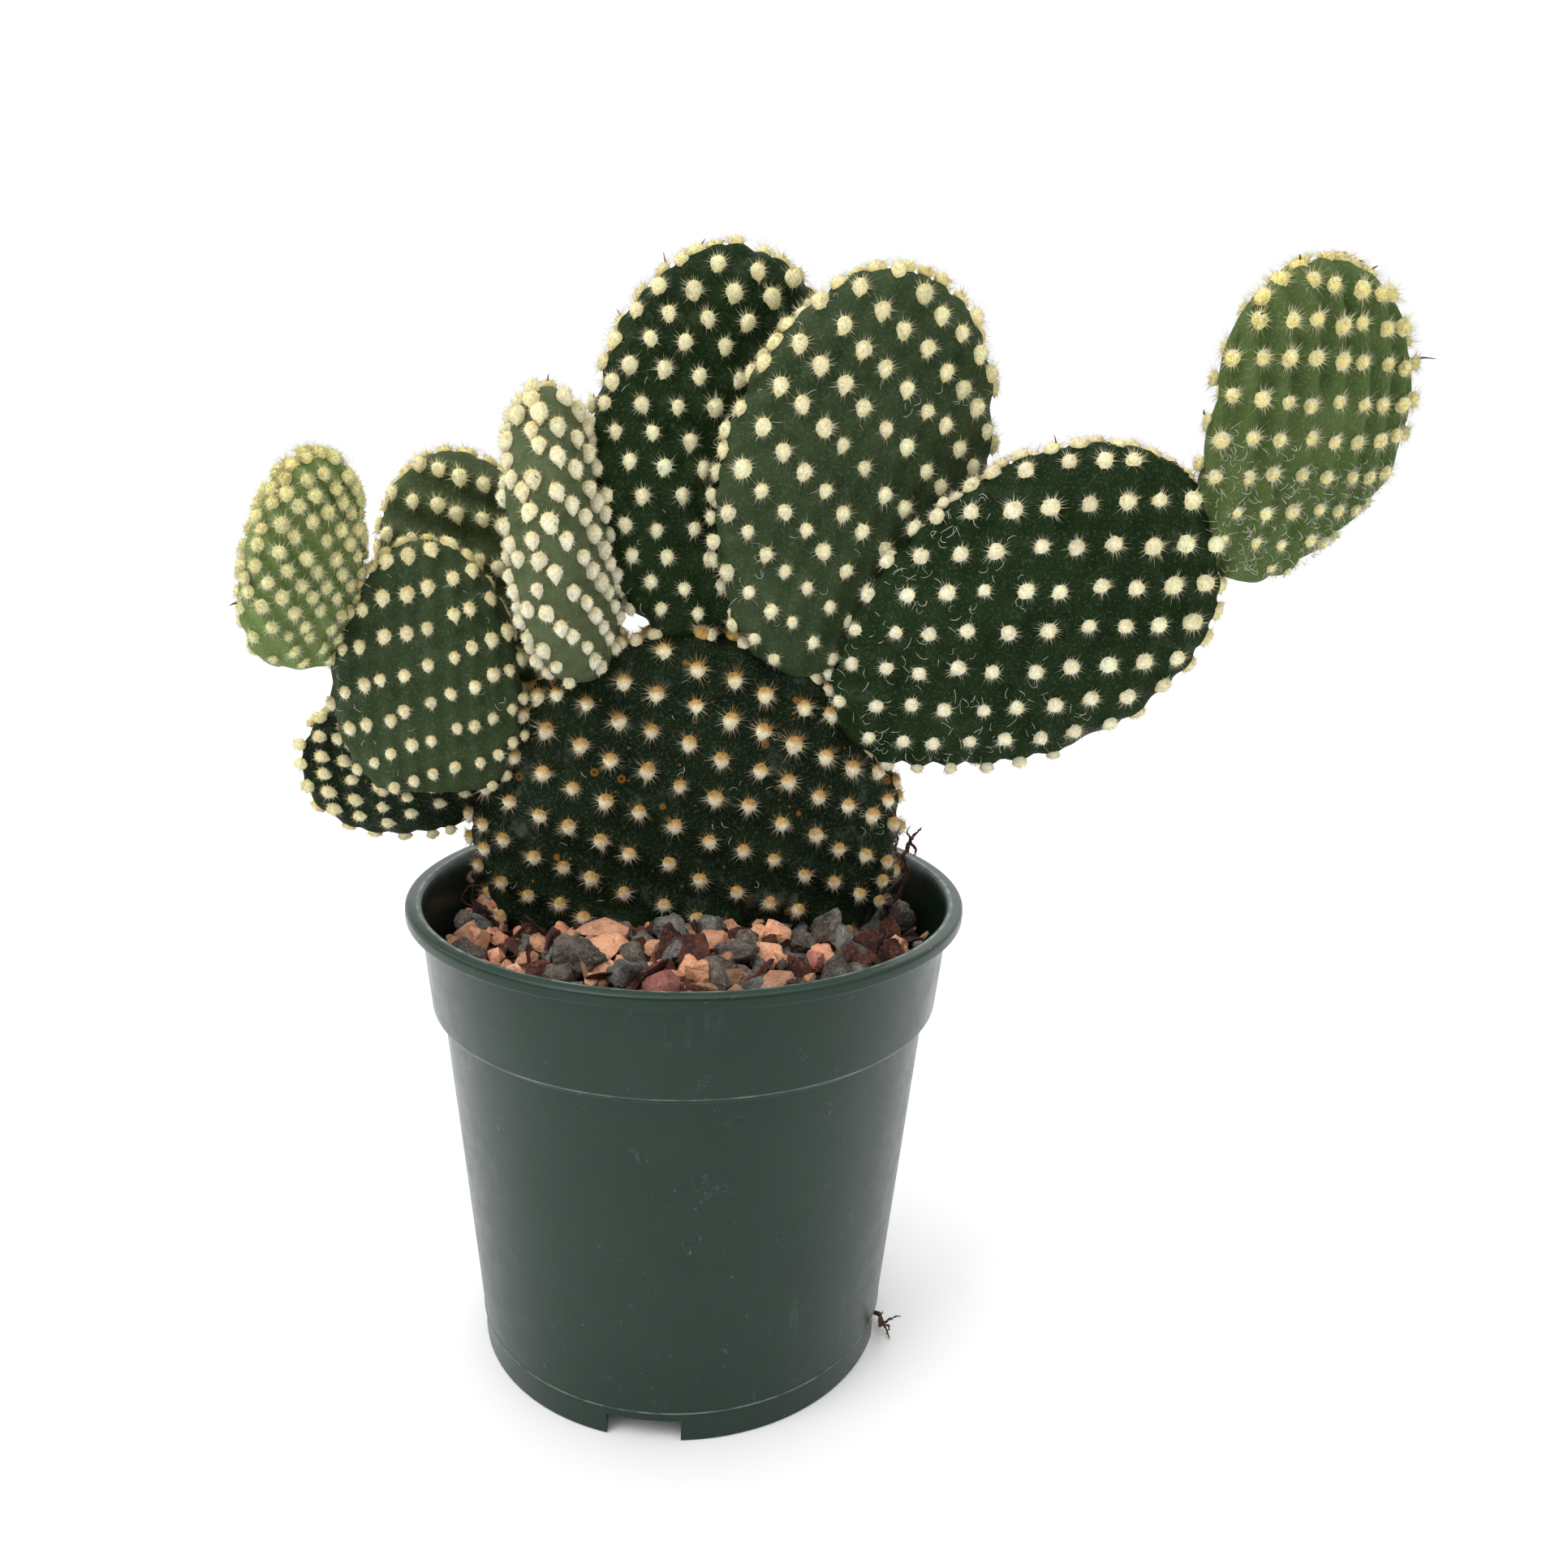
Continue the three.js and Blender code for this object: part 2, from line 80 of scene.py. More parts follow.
def aim_camera():
    """Columns of the camera's frame: right, up and back, from yaw, then pitch, then roll."""
    level = math.cos(CAMERA_PITCH)
    forward = Vector((
        math.sin(CAMERA_YAW) * level,
        math.cos(CAMERA_YAW) * level,
        -math.sin(CAMERA_PITCH),
    ))
    right = Vector((math.cos(CAMERA_YAW), -math.sin(CAMERA_YAW), 0))
    up = right.cross(forward)
    rolled_right = math.cos(CAMERA_ROLL) * right + math.sin(CAMERA_ROLL) * up
    rolled_up = -math.sin(CAMERA_ROLL) * right + math.cos(CAMERA_ROLL) * up
    return Matrix((rolled_right, rolled_up, -forward)).transposed().to_4x4()


camera_data = bpy.data.cameras.new("camera")
camera_data.lens = CAMERA_LENS
camera_data.sensor_width = CAMERA_SENSOR
camera_data.clip_start = 0.01
camera = bpy.data.objects.new("camera", camera_data)
camera.matrix_world = (
    Matrix.Translation(POT_FOOT + Vector((0, -CAMERA_BACK, CAMERA_UP))) @ aim_camera()
)
bpy.context.scene.collection.objects.link(camera)
bpy.context.scene.camera = camera

# ---- Table and light ----
# A plain pale surface in a light tent: white all round and overhead, open and dimmer at the
# front. A large soft lamp hangs overhead, and two weaker ones stand at the sides.

FLOOR_SIZE = 60.0
FRONT_LIGHT = 0.42
TOP_LIGHT = 1.05


def add_node(tree, kind, inputs=None, **settings):
    """Adds a shader node. An input is a number, a colour, or another node's socket to join."""
    made = tree.nodes.new("ShaderNode" + kind)
    for key, value in settings.items():
        setattr(made, key, value)
    for key, value in (inputs or {}).items():
        if isinstance(value, bpy.types.NodeSocket):
            tree.links.new(value, made.inputs[key])
        else:
            made.inputs[key].default_value = value
    return made


def new_finish(name, **inputs):
    """A material with one Principled shader. Returns it with its tree and shader."""
    material = bpy.data.materials.new(name)
    material.use_nodes = True
    tree = material.node_tree
    shader = tree.nodes["Principled BSDF"]
    for key, value in inputs.items():
        shader.inputs[key.replace("_", " ")].default_value = value
    return material, tree, shader


def add_lamp(name, place, aim, size, power):
    """A square soft lamp at a place, turned to shine at a point."""
    data = bpy.data.lights.new(name, "AREA")
    data.shape = "SQUARE"
    data.size = size
    data.energy = power
    lamp = bpy.data.objects.new(name, data)
    lamp.location = place
    lamp.rotation_euler = (Vector(aim) - Vector(place)).to_track_quat("-Z", "Y").to_euler()
    bpy.context.scene.collection.objects.link(lamp)
    return lamp


bpy.ops.mesh.primitive_plane_add(size=FLOOR_SIZE, location=(POT_FOOT.x, POT_FOOT.y, POT_FOOT.z))
floor = bpy.context.object
floor.name = "floor"
floor_finish, _, _ = new_finish("pale_table", Base_Color=(0.97, 0.97, 0.965, 1), Roughness=0.7)
floor.data.materials.append(floor_finish)
floor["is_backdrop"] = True


def room_light(world):
    """The light tent round the plant: bright behind, brightest overhead, dim at the front where
    the camera is."""
    world.use_nodes = True
    tree = world.node_tree
    heading = add_node(tree, "TexCoord").outputs["Generated"]
    parts = add_node(tree, "SeparateXYZ", {"Vector": heading})
    behind = add_node(tree, "MapRange", {
        "Value": parts.outputs["Y"], "From Min": -0.3, "From Max": 0.5, "To Min": FRONT_LIGHT,
        "To Max": 1.0,
    })
    overhead = add_node(tree, "MapRange", {
        "Value": parts.outputs["Z"], "From Min": 0.3, "From Max": 1.0, "To Min": 0.0,
        "To Max": TOP_LIGHT,
    })
    total = add_node(tree, "Math", {0: behind.outputs[0], 1: overhead.outputs[0]})
    tree.links.new(total.outputs[0], tree.nodes["Background"].inputs["Strength"])
    tree.nodes["Background"].inputs["Color"].default_value = (1, 1, 1, 1)


world = bpy.data.worlds.new("light_tent")
room_light(world)
bpy.context.scene.world = world
bpy.context.scene.view_settings.view_transform = "Standard"

plant_middle = POT_FOOT + Vector((0.02, 0, 0.12))
add_lamp("top_lamp", POT_FOOT + Vector((-0.5, -0.4, 0.85)), plant_middle, 0.5, 3.6)
add_lamp("left_lamp", POT_FOOT + Vector((-0.8, -0.5, 0.5)), plant_middle, 0.5, 0.8)
add_lamp("right_lamp", POT_FOOT + Vector((0.8, -0.5, 0.4)), plant_middle, 0.5, 0.6)

# ---- Pot ----
# A round nursery pot, injection moulded in thin dark green plastic: a lip over a deeper
# collar, a tapered body, and a foot ring with four drain notches. The mould left a fine pale
# line above the foot and one under the collar, and handling left scuffs and dried water spots.

WALL = 1.1
FLOOR_UNDERSIDE = 2.8
FLOOR_TOP = 4.0
SEAM_HEIGHT = 6.1
COLLAR_BOTTOM = 74.1
LIP_UNDERSIDE = 91.6
NOTCH_WIDTH = 14
NOTCH_HEIGHT = 4.3
NOTCH_REACH = 7.5
FIRST_NOTCH = math.radians(-10)
FOOT_RADIUS = 41.5
POT_SEGMENTS = 240

lip_radius = LIP_RADIUS / MM
pot_top = POT_HEIGHT / MM
collar_top_radius = lip_radius - 2.6
collar_bottom_radius = collar_top_radius - 1.7
body_top_radius = collar_bottom_radius - 2.0

# Corners of the wall's section as (radius, height, how far the corner is rounded), from the
# underside of the floor, round the outside, to the top of the floor.
POT_SECTION = [
    (FOOT_RADIUS - WALL, FLOOR_UNDERSIDE, 0.3),
    (FOOT_RADIUS - WALL, 0, 0.3),
    (FOOT_RADIUS, 0, 0.4),
    (FOOT_RADIUS, SEAM_HEIGHT - 0.2, 0.1),
    (FOOT_RADIUS + 0.42, SEAM_HEIGHT, 0.08),
    (FOOT_RADIUS + 0.42, SEAM_HEIGHT + 0.16, 0.08),
    (FOOT_RADIUS + 0.3, SEAM_HEIGHT + 0.4, 0.1),
    (body_top_radius, COLLAR_BOTTOM - 1.6, 0.5),
    (collar_bottom_radius, COLLAR_BOTTOM - 0.3, 0.35),
    (collar_top_radius, LIP_UNDERSIDE, 0.5),
    (lip_radius, LIP_UNDERSIDE, 0.5),
    (lip_radius, pot_top, 0.8),
    (collar_top_radius - 0.35, pot_top, 0.7),
    (collar_top_radius - WALL, LIP_UNDERSIDE, 0.8),
    (collar_bottom_radius - WALL, COLLAR_BOTTOM + 0.4, 0.9),
    (body_top_radius - WALL, COLLAR_BOTTOM - 2.6, 1.0),
    (FOOT_RADIUS + 0.1 - WALL, FLOOR_TOP, 1.6),
]


def rounded_section(corners, start, end, steps=5):
    """A line through corners, each replaced by a short curve that leaves and joins its two
    sides at the corner's own distance, from a start to an end point."""
    line = [np.array(start, float)]
    places = [np.array(start)] + [np.array(c[:2], float) for c in corners] + [np.array(end)]
    for before, corner, after, spec in zip(places, places[1:], places[2:], corners):
        leave = before - corner
        join = after - corner
        leave = leave / np.linalg.norm(leave) * min(spec[2], np.linalg.norm(leave) / 2)
        join = join / np.linalg.norm(join) * min(spec[2], np.linalg.norm(join) / 2)
        share = np.linspace(0, 1, steps)[:, None]
        line.extend(corner + leave * (1 - share) ** 2 + join * share ** 2)
    line.append(np.array(end, float))
    return np.array(line)


def capped_rings(rings, first, last):
    """Points and triangles of a closed skin: rings of points (rows, around, 3) one after the
    other, closed by a fan to a first point and a fan to a last one."""
    rows, around, _ = rings.shape
    points = np.vstack([first, rings.reshape(-1, 3), last])
    here = np.arange(around)
    following = (here + 1) % around
    row = 1 + around * np.arange(rows - 1)[:, None]
    a, b = row + here, row + following
    c, d = a + around, b + around
    sides = np.stack([a, b, d, a, d, c], -1).reshape(-1, 3)
    start_fan = np.stack([0 * here, 1 + following, 1 + here], -1)
    top = 1 + around * (rows - 1)
    end_fan = np.stack([0 * here + len(points) - 1, top + here, top + following], -1)
    return points, np.vstack([start_fan, sides, end_fan])


def turned(section, segments):
    """A section of (radius, height) points turned about the pot's axis, in millimetres. It
    starts and ends on the axis."""
    angle = np.linspace(0, 2 * np.pi, segments, endpoint=False)
    radius = section[1:-1, 0][:, None]
    height = section[1:-1, 1][:, None] + 0 * angle
    rings = np.stack([radius * np.cos(angle), radius * np.sin(angle), height], -1)
    first = [0, 0, section[0, 1]]
    last = [0, 0, section[-1, 1]]
    return capped_rings(rings, first, last)


def add_piece(name, points, faces, finish, stands_for=(), sharp=None):
    """Adds a closed mesh of triangles, in metres, that rides on the plant's one body and takes
    the place of the CAD nodes that it stands for. sharp is the angle, in degrees, past which
    an edge isn't smoothed."""
    mesh = bpy.data.meshes.new(name)
    mesh.vertices.add(len(points))
    mesh.vertices.foreach_set("co", np.asarray(points, np.float32).ravel())
    mesh.loops.add(faces.size)
    mesh.loops.foreach_set("vertex_index", faces.astype(np.int32).ravel())
    mesh.polygons.add(len(faces))
    mesh.polygons.foreach_set("loop_start", np.arange(0, faces.size, 3, dtype=np.int32))
    mesh.polygons.foreach_set("use_smooth", np.ones(len(faces), bool))
    mesh.update(calc_edges=True)
    mesh.validate()
    if sharp is not None:
        mesh.set_sharp_from_angle(angle=math.radians(sharp))
    mesh.materials.append(finish)
    piece = bpy.data.objects.new(name, mesh)
    bpy.context.scene.collection.objects.link(piece)
    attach(piece, "root")
    if stands_for:
        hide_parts(*stands_for)
    return piece


def from_pot(points):
    """Points in millimetres from the foot of the pot's axis, as metres in the frame."""
    return np.asarray(points) * MM + np.array(POT_FOOT)


def noise(tree, size_mm, detail=4.0, roughness=0.55, stretch=(1, 1, 1)):
    """A noise value whose spots are about size_mm across, read in the piece's own place."""
    place = add_node(tree, "TexCoord").outputs["Object"]
    scaled = add_node(tree, "Mapping", {"Vector": place, "Scale": stretch})
    found = add_node(tree, "TexNoise", {
        "Vector": scaled.outputs[0],
        "Scale": 1 / (size_mm * MM),
        "Detail": detail,
        "Roughness": roughness,
    })
    return found.outputs["Fac"]


def between(tree, value, low, high, start=0.0, end=1.0):
    """Maps a value from low..high to start..end, held at both ends."""
    ranged = add_node(tree, "MapRange", {
        "Value": value, "From Min": low, "From Max": high, "To Min": start, "To Max": end,
    })
    return ranged.outputs["Result"]


def mixed(tree, share, first, second):
    """One colour turning into another by a share."""
    made = add_node(tree, "Mix", data_type="RGBA")
    for index, value in ((0, share), (6, first), (7, second)):
        if isinstance(value, bpy.types.NodeSocket):
            tree.links.new(value, made.inputs[index])
        else:
            made.inputs[index].default_value = value
    return made.outputs[2]


def bumped(tree, shader, height, depth_mm, strength=1.0):
    """Gives the shader a fine relief of a depth in millimetres, over any that it has."""
    inputs = {"Height": height, "Distance": depth_mm * MM, "Strength": strength}
    present = shader.inputs["Normal"].links
    if present:
        inputs["Normal"] = present[0].from_socket
    relief = add_node(tree, "Bump", inputs)
    tree.links.new(relief.outputs[0], shader.inputs["Normal"])


def worked(tree, operation, *values):
    """The result of a sum on one or two values, each a number or another node's socket."""
    node = add_node(tree, "Math", dict(enumerate(values)), operation=operation)
    return node.outputs[0]


def pot_finish():
    """Dark green plastic with a faint mottle, scuffs, dried water spots with pale rims, two pale
    mould lines, a painted highlight on the lip's top and a broken painted highlight line along
    its inner edge, and painted shade on the walls inside."""
    finish, tree, shader = new_finish("green_nursery_plastic", Specular_IOR_Level=0.3)
    deep = (0.0030, 0.0195, 0.0110, 1)
    faded = (0.0054, 0.0255, 0.0155, 1)
    # The pale colour serves the real scuffs, water spots and mould lines, and the painted
    # highlights on the lip.
    chalk_and_highlight = (0.30, 0.38, 0.34, 1)
    stain = (0.003, 0.012, 0.008, 1)
    shaded = (0.002, 0.007, 0.004, 1)
    colour = mixed(tree, between(tree, noise(tree, 30, 3), 0.35, 0.65), deep, faded)
    scuffs = between(tree, noise(tree, 9, 6, 0.7, (1, 1, 0.25)), 0.62, 0.85, 0, 0.14)
    colour = mixed(tree, scuffs, colour, chalk_and_highlight)
    spots = between(tree, noise(tree, 1.6, 2, 0.6), 0.72, 0.78, 0, 0.16)
    colour = mixed(tree, spots, colour, chalk_and_highlight)
    dried = noise(tree, 7, 3, 0.6)
    stained = between(tree, dried, 0.655, 0.66, 0, 0.35)
    colour = mixed(tree, stained, colour, stain)
    rim = worked(tree, "ABSOLUTE", worked(tree, "SUBTRACT", dried, 0.657))
    colour = mixed(tree, between(tree, rim, 0.001, 0.005, 0.12, 0), colour, chalk_and_highlight)
    place = add_node(tree, "TexCoord").outputs["Object"]
    height = add_node(tree, "SeparateXYZ", {"Vector": place}).outputs["Z"]
    for line_height in (SEAM_HEIGHT + 0.1, COLLAR_BOTTOM - 0.25):
        middle = POT_FOOT.z + line_height * MM
        distance = worked(tree, "ABSOLUTE", worked(tree, "SUBTRACT", height, middle))
        line = between(tree, distance, 0.1 * MM, 0.28 * MM, 1, 0)
        broken = between(tree, noise(tree, 4, 4), 0.42, 0.6, 0.12, 0.42)
        colour = mixed(tree, worked(tree, "MULTIPLY", line, broken), colour, chalk_and_highlight)
    facing = add_node(tree, "NewGeometry").outputs["Normal"]
    upward = add_node(tree, "SeparateXYZ", {"Vector": facing}).outputs["Z"]
    near_top = between(tree, height, POT_HEIGHT - 1.2 * MM, POT_HEIGHT - 0.2 * MM)
    # Painted highlight: the up-facing top of the lip is lightened toward the pale colour.
    painted_lip_top_highlight = worked(tree, "MULTIPLY", upward, near_top)
    colour = mixed(tree, between(tree, painted_lip_top_highlight, 0.6, 1, 0, 0.1), colour, chalk_and_highlight)
    level = add_node(tree, "VectorMath", {0: place, 1: (1, 1, 0)}, operation="MULTIPLY")
    spoke = add_node(tree, "VectorMath", {0: level.outputs[0], 1: (POT_FOOT.x, POT_FOOT.y, 0)},
                     operation="SUBTRACT").outputs[0]
    from_axis = add_node(tree, "VectorMath", {0: spoke}, operation="LENGTH").outputs["Value"]
    # Painted highlight: a broken pale line along the lip's inner edge.
    edge = between(tree, from_axis, (collar_top_radius + 0.75) * MM,
                   (collar_top_radius + 0.4) * MM)
    on_lip = between(tree, height, POT_HEIGHT - 1.4 * MM, POT_HEIGHT - 0.5 * MM)
    highlight_breaks = between(tree, noise(tree, 3, 4), 0.4, 0.62, 0.2, 0.7)
    edge = worked(tree, "MULTIPLY", worked(tree, "MULTIPLY", edge, on_lip), highlight_breaks)
    colour = mixed(tree, edge, colour, chalk_and_highlight)
    spoke = add_node(tree, "VectorMath", {0: spoke}, operation="NORMALIZE").outputs[0]
    inward = add_node(tree, "VectorMath", {0: spoke, 1: facing},
                      operation="DOT_PRODUCT").outputs["Value"]
    # Painted shade: walls that face the axis, inside the pot, are darkened toward the shaded
    # colour.
    inside = between(tree, inward, -0.45, -0.15, 0.75, 0)
    colour = mixed(tree, inside, colour, shaded)
    tree.links.new(colour, shader.inputs["Base Color"])
    gloss = between(tree, noise(tree, 5, 5, 0.7), 0.3, 0.7, 0.24, 0.36)
    tree.links.new(gloss, shader.inputs["Roughness"])
    bumped(tree, shader, noise(tree, 0.5, 2), 0.012)
    bumped(tree, shader, noise(tree, 14, 2), 0.05)
    return finish


def cut_notches(pot):
    """Cuts blocks out of the foot and the floor's edge, a quarter turn apart."""
    depth = NOTCH_REACH + 10
    middle = -(FOOT_RADIUS - NOTCH_REACH + depth / 2)
    shape = bmesh.new()
    for quarter in range(4):
        turn = Matrix.Rotation(FIRST_NOTCH + quarter * math.pi / 2, 4, "Z")
        size = Matrix.Diagonal((NOTCH_WIDTH * MM, depth * MM, 2 * NOTCH_HEIGHT * MM, 1))
        place = Matrix.Translation(POT_FOOT) @ turn @ Matrix.Translation((0, middle * MM, 0))
        bmesh.ops.create_cube(shape, size=1, matrix=place @ size)
    cutter_mesh = bpy.data.meshes.new("notch_cutter")
    shape.to_mesh(cutter_mesh)
    shape.free()
    cutter = bpy.data.objects.new("notch_cutter", cutter_mesh)
    bpy.context.scene.collection.objects.link(cutter)
    cut = pot.modifiers.new("notches", "BOOLEAN")
    cut.operation = "DIFFERENCE"
    cut.solver = "EXACT"
    cut.object = cutter
    bpy.context.view_layer.update()
    evaluated = pot.evaluated_get(bpy.context.evaluated_depsgraph_get())
    result = bpy.data.meshes.new_from_object(evaluated)
    pot.modifiers.clear()
    pot.data = result
    result.set_sharp_from_angle(angle=math.radians(35))
    bpy.data.objects.remove(cutter)


section = rounded_section(POT_SECTION, (0, FLOOR_UNDERSIDE), (0, FLOOR_TOP))
pot_points, pot_faces = turned(section, POT_SEGMENTS)
pot = add_piece("nursery_pot", from_pot(pot_points), pot_faces, pot_finish(),
                ("pot",), sharp=35)
cut_notches(pot)

# ---- Potting mix ----
# Dark, crumbly mix of peat and fine bark, filled to a low dome a finger's breadth under the
# lip. It is one loose mass, so it is one closed body with a rough, lumpy top.

MIX_BELOW_LIP = 13.5
MIX_CROWN = 6.0
MIX_GAP = 0.3
MIX_RADIUS = 48.9

seeded = np.random.default_rng(20)


def waves(points, length_mm, count=14):
    """A smooth random relief from -1 to 1: the mean of sine waves that run in random
    directions, about length_mm from crest to crest."""
    directions = seeded.normal(size=(3, count))
    directions /= np.linalg.norm(directions, axis=0)
    lengths = length_mm * seeded.uniform(0.7, 1.4, count)
    phases = seeded.uniform(0, 2 * np.pi, count)
    angles = (np.asarray(points) @ directions) * (2 * np.pi / lengths) + phases
    return np.sin(angles).sum(-1) / math.sqrt(count)


def mix_height(radius):
    """Height of the mix at a distance from the pot's axis: a parabola, lowest at the wall."""
    share = np.minimum(np.asarray(radius) / MIX_RADIUS, 1)
    return pot_top - MIX_BELOW_LIP + MIX_CROWN * (1 - share ** 2)


def earth_finish():
    """Nearly black brown crumbs with paler flecks."""
    finish, tree, shader = new_finish("potting_mix", Roughness=0.95)
    dark = (0.020, 0.013, 0.010, 1)
    brown = (0.075, 0.048, 0.032, 1)
    pale = (0.22, 0.17, 0.13, 1)
    colour = mixed(tree, between(tree, noise(tree, 2.5, 5), 0.4, 0.65), dark, brown)
    colour = mixed(tree, between(tree, noise(tree, 0.9, 2), 0.64, 0.7), colour, pale)
    tree.links.new(colour, shader.inputs["Base Color"])
    bumped(tree, shader, noise(tree, 1.1, 6, 0.7), 0.5)
    return finish


def potting_mix():
    """The mix's outline, turned about the axis: up the inside of the pot, then over the dome."""
    dome = np.linspace(MIX_RADIUS, 0.4, 70)
    outline = np.vstack([
        [0, FLOOR_TOP + MIX_GAP],
        [FOOT_RADIUS - WALL - 2 * MIX_GAP, FLOOR_TOP + MIX_GAP],
        [body_top_radius - WALL - MIX_GAP, COLLAR_BOTTOM - 3.2],
        [collar_bottom_radius - WALL - MIX_GAP, COLLAR_BOTTOM + 0.6],
        np.stack([dome, mix_height(dome)], -1),
        [0, mix_height(0)],
    ])
    points, faces = turned(outline, 200)
    on_top = points[:, 2] > mix_height(MIX_RADIUS) + 0.05
    points[on_top, 2] += 0.6 * waves(points[on_top], 7) + 0.35 * waves(points[on_top], 2.5)
    return points, faces


mix_points, mix_faces = potting_mix()
add_piece("potting_mix_fill", from_pot(mix_points), mix_faces, earth_finish(),
          ("potting_mix",))

# ---- Stones and chips ----
# The top dressing: crushed peach-coloured, grey-brown, blue-grey and dusty red stone, flakes
# of dark bark and a split wood sliver. Crushing leaves flat broken faces with worn edges. Each
# larger one is a piece in its CAD node's place.


def sphere_mesh(level):
    """Unit directions and triangles of an icosahedron whose faces are halved level times."""
    shape = bmesh.new()
    bmesh.ops.create_icosphere(shape, subdivisions=level, radius=1)
    shape.verts.ensure_lookup_table()
    points = np.array([v.co for v in shape.verts])
    faces = np.array([[v.index for v in f.verts] for f in shape.faces])
    shape.free()
    return points / np.linalg.norm(points, axis=1)[:, None], faces


def broken_stone(directions, planes, evenness, sharpness):
    """A stone broken along random planes. Along each direction the surface lies where the
    nearest plane is met, and a high power of the distances rounds the edges a little."""
    facing = seeded.normal(size=(3, planes))
    facing /= np.linalg.norm(facing, axis=0)
    reach = seeded.uniform(evenness, 1, planes)
    met = np.maximum(directions @ facing, 0.02) / reach
    radius = (met ** sharpness).sum(-1) ** (-1 / sharpness)
    return directions * np.minimum(radius, 1.5)[:, None]


def fitted(points, size):
    """The points scaled and centred to fill a box of a size about the origin."""
    low, high = points.min(0), points.max(0)
    return (points - (low + high) / 2) / (high - low) * np.asarray(size)


# Each kind of stone: how many planes it is broken along, how even and how sharp-edged it is,
# and how deep its pits and grain are as a share of its size.
STONE_KINDS = {
    "peach_stone": dict(planes=14, evenness=0.5, sharpness=30, grain=0.02, pits=0.0),
    "lava_stone": dict(planes=17, evenness=0.62, sharpness=16, grain=0.04, pits=0.09),
    "slate_stone": dict(planes=13, evenness=0.5, sharpness=34, grain=0.03, pits=0.02),
    "red_stone": dict(planes=12, evenness=0.6, sharpness=24, grain=0.03, pits=0.0),
    "bark_chip": dict(planes=10, evenness=0.4, sharpness=40, grain=0.045, pits=0.03),
    "wood_chip": dict(planes=9, evenness=0.5, sharpness=40, grain=0.03, pits=0.0),
}


def stone_shape(sphere, kind, size):
    """A broken stone of a kind that fills a box of a size in millimetres."""
    spec = STONE_KINDS[kind]
    points = broken_stone(sphere[0], spec["planes"], spec["evenness"], spec["sharpness"])
    swell = 1 + spec["grain"] * waves(points, 0.35) + spec["grain"] * waves(points, 0.9)
    swell -= spec["pits"] * np.maximum(waves(points, 0.4) - 0.9, 0)
    return fitted(points * swell[:, None], size)


# Each kind's colours: its two main tones, its dust, and how rough and grained it is.
STONE_TONES = {
    "peach_stone": ((0.70, 0.29, 0.15), (0.90, 0.48, 0.29), (0.96, 0.72, 0.55), 0.5),
    "lava_stone": ((0.15, 0.122, 0.098), (0.45, 0.385, 0.31), (0.64, 0.57, 0.48), 1.5),
    "slate_stone": ((0.125, 0.120, 0.108), (0.41, 0.39, 0.35), (0.62, 0.60, 0.56), 1.2),
    "red_stone": ((0.42, 0.12, 0.09), (0.56, 0.24, 0.19), (0.66, 0.44, 0.38), 0.35),
    "bark_chip": ((0.028, 0.009, 0.006), (0.170, 0.052, 0.032), (0.30, 0.17, 0.12), 0.7),
    "wood_chip": ((0.20, 0.095, 0.042), (0.42, 0.24, 0.13), (0.54, 0.38, 0.26), 0.4),
}


def stone_finish(kind):
    """Two tones of the kind in patches, dust on the grain, and a fine rough surface. Where the
    piece has a shade for each stone, that shade darkens or lightens it."""
    deep, light, dust, grain = STONE_TONES[kind]
    finish, tree, shader = new_finish(kind, Roughness=0.92)
    shade = add_node(tree, "Attribute", attribute_name="shade").outputs["Fac"]
    patches = between(tree, noise(tree, 3.2, 5, 0.65), 0.38, 0.62)
    colour = mixed(tree, patches, deep + (1,), light + (1,))
    speckle = between(tree, noise(tree, 0.7, 3, 0.7), 0.56, 0.68, 0, 0.75)
    colour = mixed(tree, speckle, colour, dust + (1,))
    dark = between(tree, noise(tree, 1.1, 3), 0.58, 0.7, 0, 0.6)
    colour = mixed(tree, dark, colour, tuple(0.35 * c for c in deep) + (1,))
    brightness = between(tree, shade, 0, 1, 0.62, 1.5)
    tuned = add_node(tree, "HueSaturation", {"Color": colour, "Value": brightness})
    tree.links.new(tuned.outputs[0], shader.inputs["Base Color"])
    bumped(tree, shader, noise(tree, 0.55, 5, 0.7), grain)
    bumped(tree, shader, noise(tree, 2.2, 4, 0.6), grain)
    return finish


def set_shade(piece, values):
    """Stores a shade from 0 to 1 on every point of a piece."""
    layer = piece.data.attributes.new("shade", "FLOAT", "POINT")
    layer.data.foreach_set("value", np.asarray(values, np.float32))


stone_finishes = {kind: stone_finish(kind) for kind in STONE_KINDS}
fine_sphere = sphere_mesh(5)
for node in sorted(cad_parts):
    kind, _, number = node.rpartition("_")
    if kind not in STONE_KINDS:
        continue
    low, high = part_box(node)
    shape = stone_shape(fine_sphere, kind, np.array(high - low) / MM)
    stone = add_piece("rough_" + node, shape * MM + np.array((low + high) / 2),
                      fine_sphere[1], stone_finishes[kind], (node,), sharp=50)
    set_shade(stone, np.full(len(shape), seeded.uniform(0.25, 0.75)))

# ---- Grit ----
# Smaller stones and chips of the same kinds lie between and under the larger ones, from coarse
# sand to pea size. Each kind is one piece of many loose stones.

GRIT_VARIANTS = 14
# Size range in millimetres, how many, and how they share out between the kinds.
GRIT_SORTS = [
    dict(sizes=(4.6, 8.6), count=210, spacing=4.3, sink=0.3),
    dict(sizes=(2.0, 4.2), count=640, spacing=2.1, sink=0.1),
]
GRIT_SHARES = {
    "peach_stone": 0.25, "lava_stone": 0.18, "slate_stone": 0.10, "bark_chip": 0.37,
    "wood_chip": 0.08, "red_stone": 0.02,
}
GRIT_FLATNESS = {"bark_chip": (1.55, 0.95, 0.2), "wood_chip": (1.9, 0.42, 0.26)}


